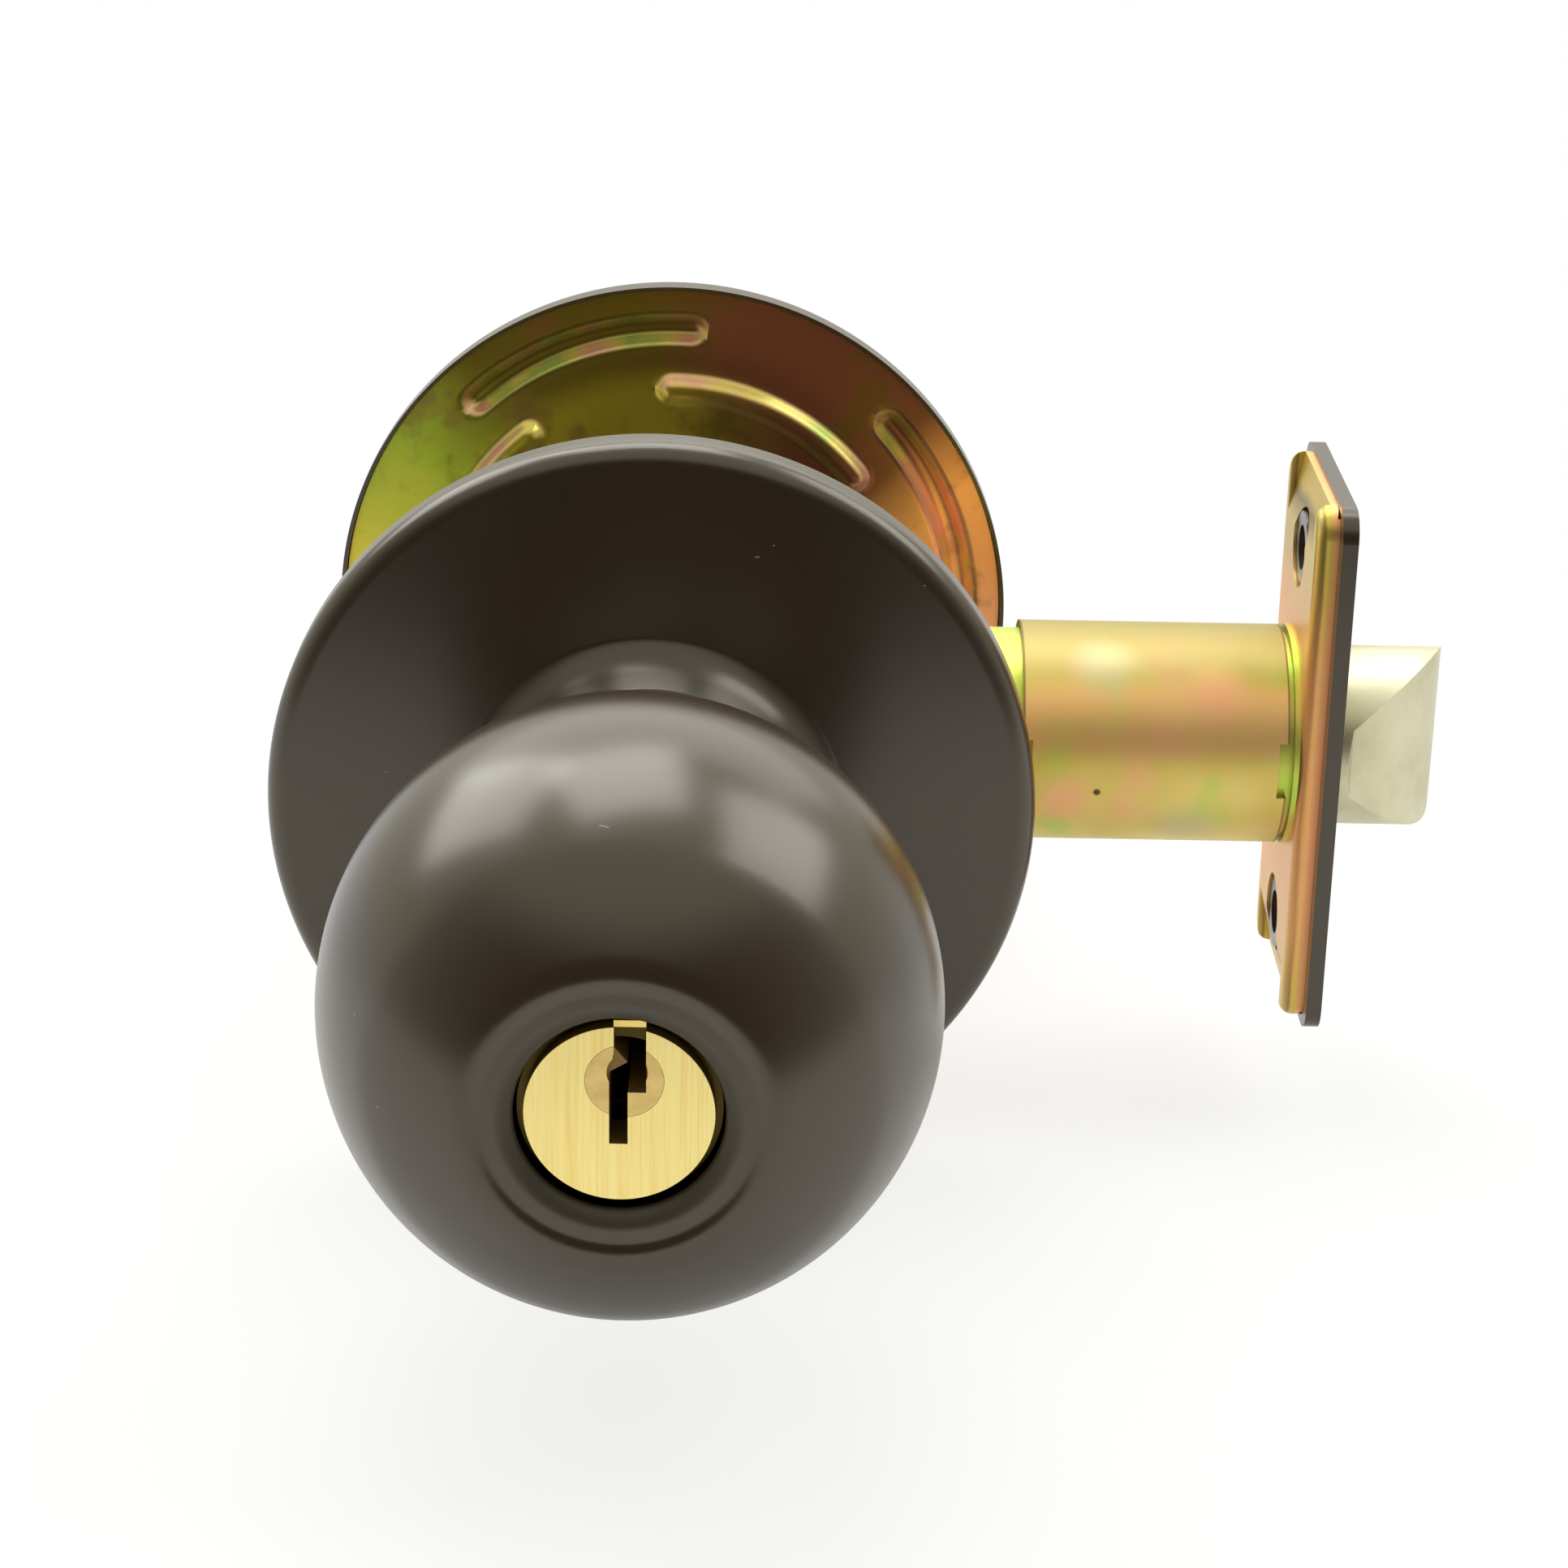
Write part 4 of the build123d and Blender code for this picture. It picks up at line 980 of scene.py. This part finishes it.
# Coil springs: each stands in its solid's box.
# An axis is 0, 1 or 2 for X, Y or Z: the coils lie along one, and several stand in a row on another.
coils = {
    "retractor_springs": {
        "body": "chassis",
        "radius": 2.4,
        "turns": 3.0,
        "axis": 0,
        "row": 2,
        "count": 2,
        "joint": "retractor_slide",
        "travel": 12.7,
    },
    "bolt_spring": {
        "body": "chassis",
        "radius": 4.1,
        "turns": 6.0,
        "axis": 0,
        "row": 2,
        "count": 1,
        "joint": "bolt_slide",
        "travel": 12.7,
    },
    "deadlatch_spring": {
        "body": "chassis",
        "radius": 1.5,
        "turns": 12.0,
        "axis": 0,
        "row": 2,
        "count": 1,
        "joint": "deadlatch_slide",
        "travel": 9.8,
    },
    "pin_springs": {
        "body": "outside_handle",
        "radius": 1.0,
        "turns": 3.0,
        "axis": 2,
        "row": 1,
        "count": 5,
        "joint": "driver_pin_lift",
        "travel": 1.5,
    },
    "button_spring": {
        "body": "inside_handle",
        "radius": 3.6,
        "turns": 8.0,
        "axis": 1,
        "row": 2,
        "count": 1,
        "joint": "button_push",
        "travel": 3.0,
    },
}
coilWire = 0.4  # radius of the wire
coilSteps = {"Steps a turn": 28, "Steps round wire": 10}
coilTurns = ((0.0, pi / 2, 0.0), (-pi / 2, 0.0, 0.0), (0.0, 0.0, 0.0))  # from upright to X, Y or Z


def makeCoil(name, spec, low, high):
    wire = coilWire * mm
    axis = spec["axis"]
    row = spec["row"]
    reach = spec["radius"] * mm + wire
    first = (low + high) / 2
    step = Vector((0.0, 0.0, 0.0))
    if spec["count"] > 1:
        first[row] = low[row] + reach
        step[row] = (high[row] - low[row] - 2 * reach) / (spec["count"] - 1)
    first[axis] = low[axis] + wire
    length = high[axis] - low[axis]
    sizes = {
        "Coil radius": spec["radius"] * mm,
        "Wire radius": wire,
        "Turns": spec["turns"],
        "Count": spec["count"],
        "Height": length - 2 * wire,
        "Finish": finishes["spring_steel"],
    }
    sizes.update(coilSteps)
    work = Shaper(name + "Coil", sizes)
    inputs = work.inputs
    radius = inputs["Coil radius"]
    sockets = {"Resolution": inputs["Steps a turn"], "Rotations": inputs["Turns"]}
    sockets.update({"Height": inputs["Height"], "Start Radius": radius, "End Radius": radius})
    path = work.node("GeometryNodeCurveSpiral", None, sockets)
    sockets = {"Resolution": inputs["Steps round wire"], "Radius": inputs["Wire radius"]}
    ring = work.node("GeometryNodeCurvePrimitiveCircle", None, sockets)
    sockets = {"Curve": path, "Profile Curve": ring, "Fill Caps": True}
    coil = work.node("GeometryNodeCurveToMesh", None, sockets)
    sockets = {"Count": inputs["Count"], "Start Location": first, "Offset": step}
    line = work.node("GeometryNodeMeshLine", None, sockets)
    sockets = {"Points": line, "Instance": coil, "Rotation": coilTurns[axis]}
    work.close(work.node("GeometryNodeInstanceOnPoints", None, sockets), inputs["Finish"])
    mesh = work.mesh(name + "Coil")
    faceOutward(mesh)
    return mesh, length


for name, spec in coils.items():
    low, high = [Vector(corner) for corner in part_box(name)]
    mesh, length = makeCoil(name, spec, low, high)
    piece = addPiece(name + "Coil", mesh, spec["body"], "spring_steel", name)
    joint, travel = spec["joint"], spec["travel"]
    1 - travel * mm / length
    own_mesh(piece)
print("springs made")


# Floor, light and camera, with their sizes in metres
stage = {
    "drop": 0.1 * mm,
    "half": 3.0,
    "front": -0.22,
    "white": (1.0, 1.0, 1.0, 1.0),
    "paper": (1.0, 0.98, 0.84, 1.0),
    "floor": (0.84, 0.84, 0.83, 1.0),
    "shadowKept": 0.22,
    "shadowReach": (0.1, 0.22),
    "shinyNear": 0.35,
    "shinyReach": (-0.04, 0.12),
    "roomLevel": 0.6,
    "frontLevel": 0.07,
    "wallLevel": 1.0,
    "wallFrom": (-1.0, 0.45),
    "skyLevel": 1.0,
    "skyFrom": (0.56, 0.86),
    "skyLean": 0.2,
    "lampSpill": 0.4,
}
softboxes = {
    "overhead": {"towards": (-0.081, 0.327, 0.942), "wide": 0.6, "deep": 0.6, "power": 5.0},
    "left": {"towards": (-0.617, 0.405, 0.675), "wide": 0.6, "deep": 0.6, "power": 4.1},
    "right": {"towards": (0.66, 0.164, 0.733), "wide": 0.6, "deep": 0.6, "power": 4.1},
    "behind": {"towards": (0.0, 0.79, 0.61), "wide": 1.5, "deep": 0.55, "power": 3.2},
}
camera = {
    "place": (12.72 * mm, -349.9 * mm, 133.9 * mm),
    "turn": radians(0.07),
    "down": radians(21.91),
    "roll": radians(1.04),
    "focalPixels": 4362.6,
    "imagePixels": 1932,
    "sensor": 36.0,
    "clip": 0.01,
}


def lightPath(work):  # what the eye, glass and shiny metal look at
    path = work.tree.nodes.new("ShaderNodeLightPath")
    rays = ("Is Camera Ray", "Is Transmission Ray", "Is Glossy Ray")
    eye, through, shiny = [Wire(work, path.outputs[name]) for name in rays]
    return work.limit(eye + through), shiny


def makeFloor():
    low = cadBox[0].z - stage["drop"]
    half = stage["half"]
    front = stage["front"]
    mesh = bpy.data.meshes.new("floor")
    corners = [(-half, front, low), (half, front, low), (half, half, low), (-half, half, low)]
    mesh.from_pydata(corners, [], [(0, 1, 2, 3)])
    floor = bpy.data.objects.new("floor", mesh)
    bpy.context.scene.collection.objects.link(floor)
    work = Finish("floorPaper")
    x, y, _ = work.split(work.place)
    matt = work.node("ShaderNodeBsdfDiffuse", None, {"Color": stage["floor"]})
    glow = work.node("ShaderNodeEmission", None, {"Color": stage["white"], "Strength": 1.0})
    seen, shiny = lightPath(work)
    far = work.fade(work.span(x, y), *stage["shadowReach"])
    near = stage["shinyNear"]
    mirrored = near + (1 - near) * work.fade(y, *stage["shinyReach"])
    factor = seen * (1 - stage["shadowKept"] * (1 - far)) + shiny * mirrored
    mixed = work.node("ShaderNodeMixShader", None, {0: factor, 1: matt, 2: glow})
    work.node("ShaderNodeOutputMaterial", None, {"Surface": mixed})
    mesh.materials.append(work.material)


def makeWorld():  # white round the object, darker in front of it where the room is
    world = bpy.data.worlds.new("studio")
    bpy.context.scene.world = world
    world.use_nodes = True
    work = Builder(world.node_tree)
    _, y, z = work.split(work.node("ShaderNodeTexCoord"))
    seen, shiny = lightPath(work)
    front = stage["frontLevel"]
    wall = front + (stage["wallLevel"] - front) * work.fade(y, *stage["wallFrom"])
    sky = work.fade(z - stage["skyLean"] * y, *stage["skyFrom"])
    mirrored = wall + (stage["skyLevel"] - wall) * sky
    strength = seen + shiny * mirrored + (1 - seen - shiny) * stage["roomLevel"]
    colour = work.mix(seen, stage["paper"], stage["white"])
    glow = work.node("ShaderNodeBackground", None, {"Color": colour, "Strength": strength})
    work.node("ShaderNodeOutputWorld", None, {"Surface": glow})


def makeSoftbox(name, box):  # one metre from the part's middle
    light = bpy.data.lights.new(name, "AREA")
    light.shape = "RECTANGLE"
    light.size = box["wide"]
    light.size_y = box["deep"]
    light.energy = box["power"]
    light.diffuse_factor = stage["lampSpill"]
    lamp = bpy.data.objects.new(name, light)
    away = Vector(box["towards"]).normalized()
    lamp.location = (cadBox[0] + cadBox[1]) / 2 + away
    lamp.rotation_euler = away.to_track_quat("Z", "Y").to_euler()
    bpy.context.scene.collection.objects.link(lamp)


def makeCamera():
    view = bpy.data.cameras.new("camera")
    view.sensor_width = camera["sensor"]
    view.lens = camera["sensor"] * camera["focalPixels"] / camera["imagePixels"]
    view.clip_start = camera["clip"]
    eye = bpy.data.objects.new("camera", view)
    down = camera["down"]
    turned = camera["turn"]
    forward = Vector((sin(turned) * cos(down), cos(turned) * cos(down), -sin(down)))
    right = Vector((cos(turned), -sin(turned), 0))
    up = right.cross(forward)
    rolledRight = cos(camera["roll"]) * right + sin(camera["roll"]) * up
    rolledUp = cos(camera["roll"]) * up - sin(camera["roll"]) * right
    axes = Matrix((rolledRight, rolledUp, -forward)).transposed().to_4x4()
    eye.matrix_world = Matrix.Translation(camera["place"]) @ axes
    bpy.context.scene.collection.objects.link(eye)
    bpy.context.scene.camera = eye


makeFloor()
makeWorld()
for name, box in softboxes.items():
    makeSoftbox(name, box)
makeCamera()
bpy.context.scene.view_settings.view_transform = "Standard"
print("stage set")
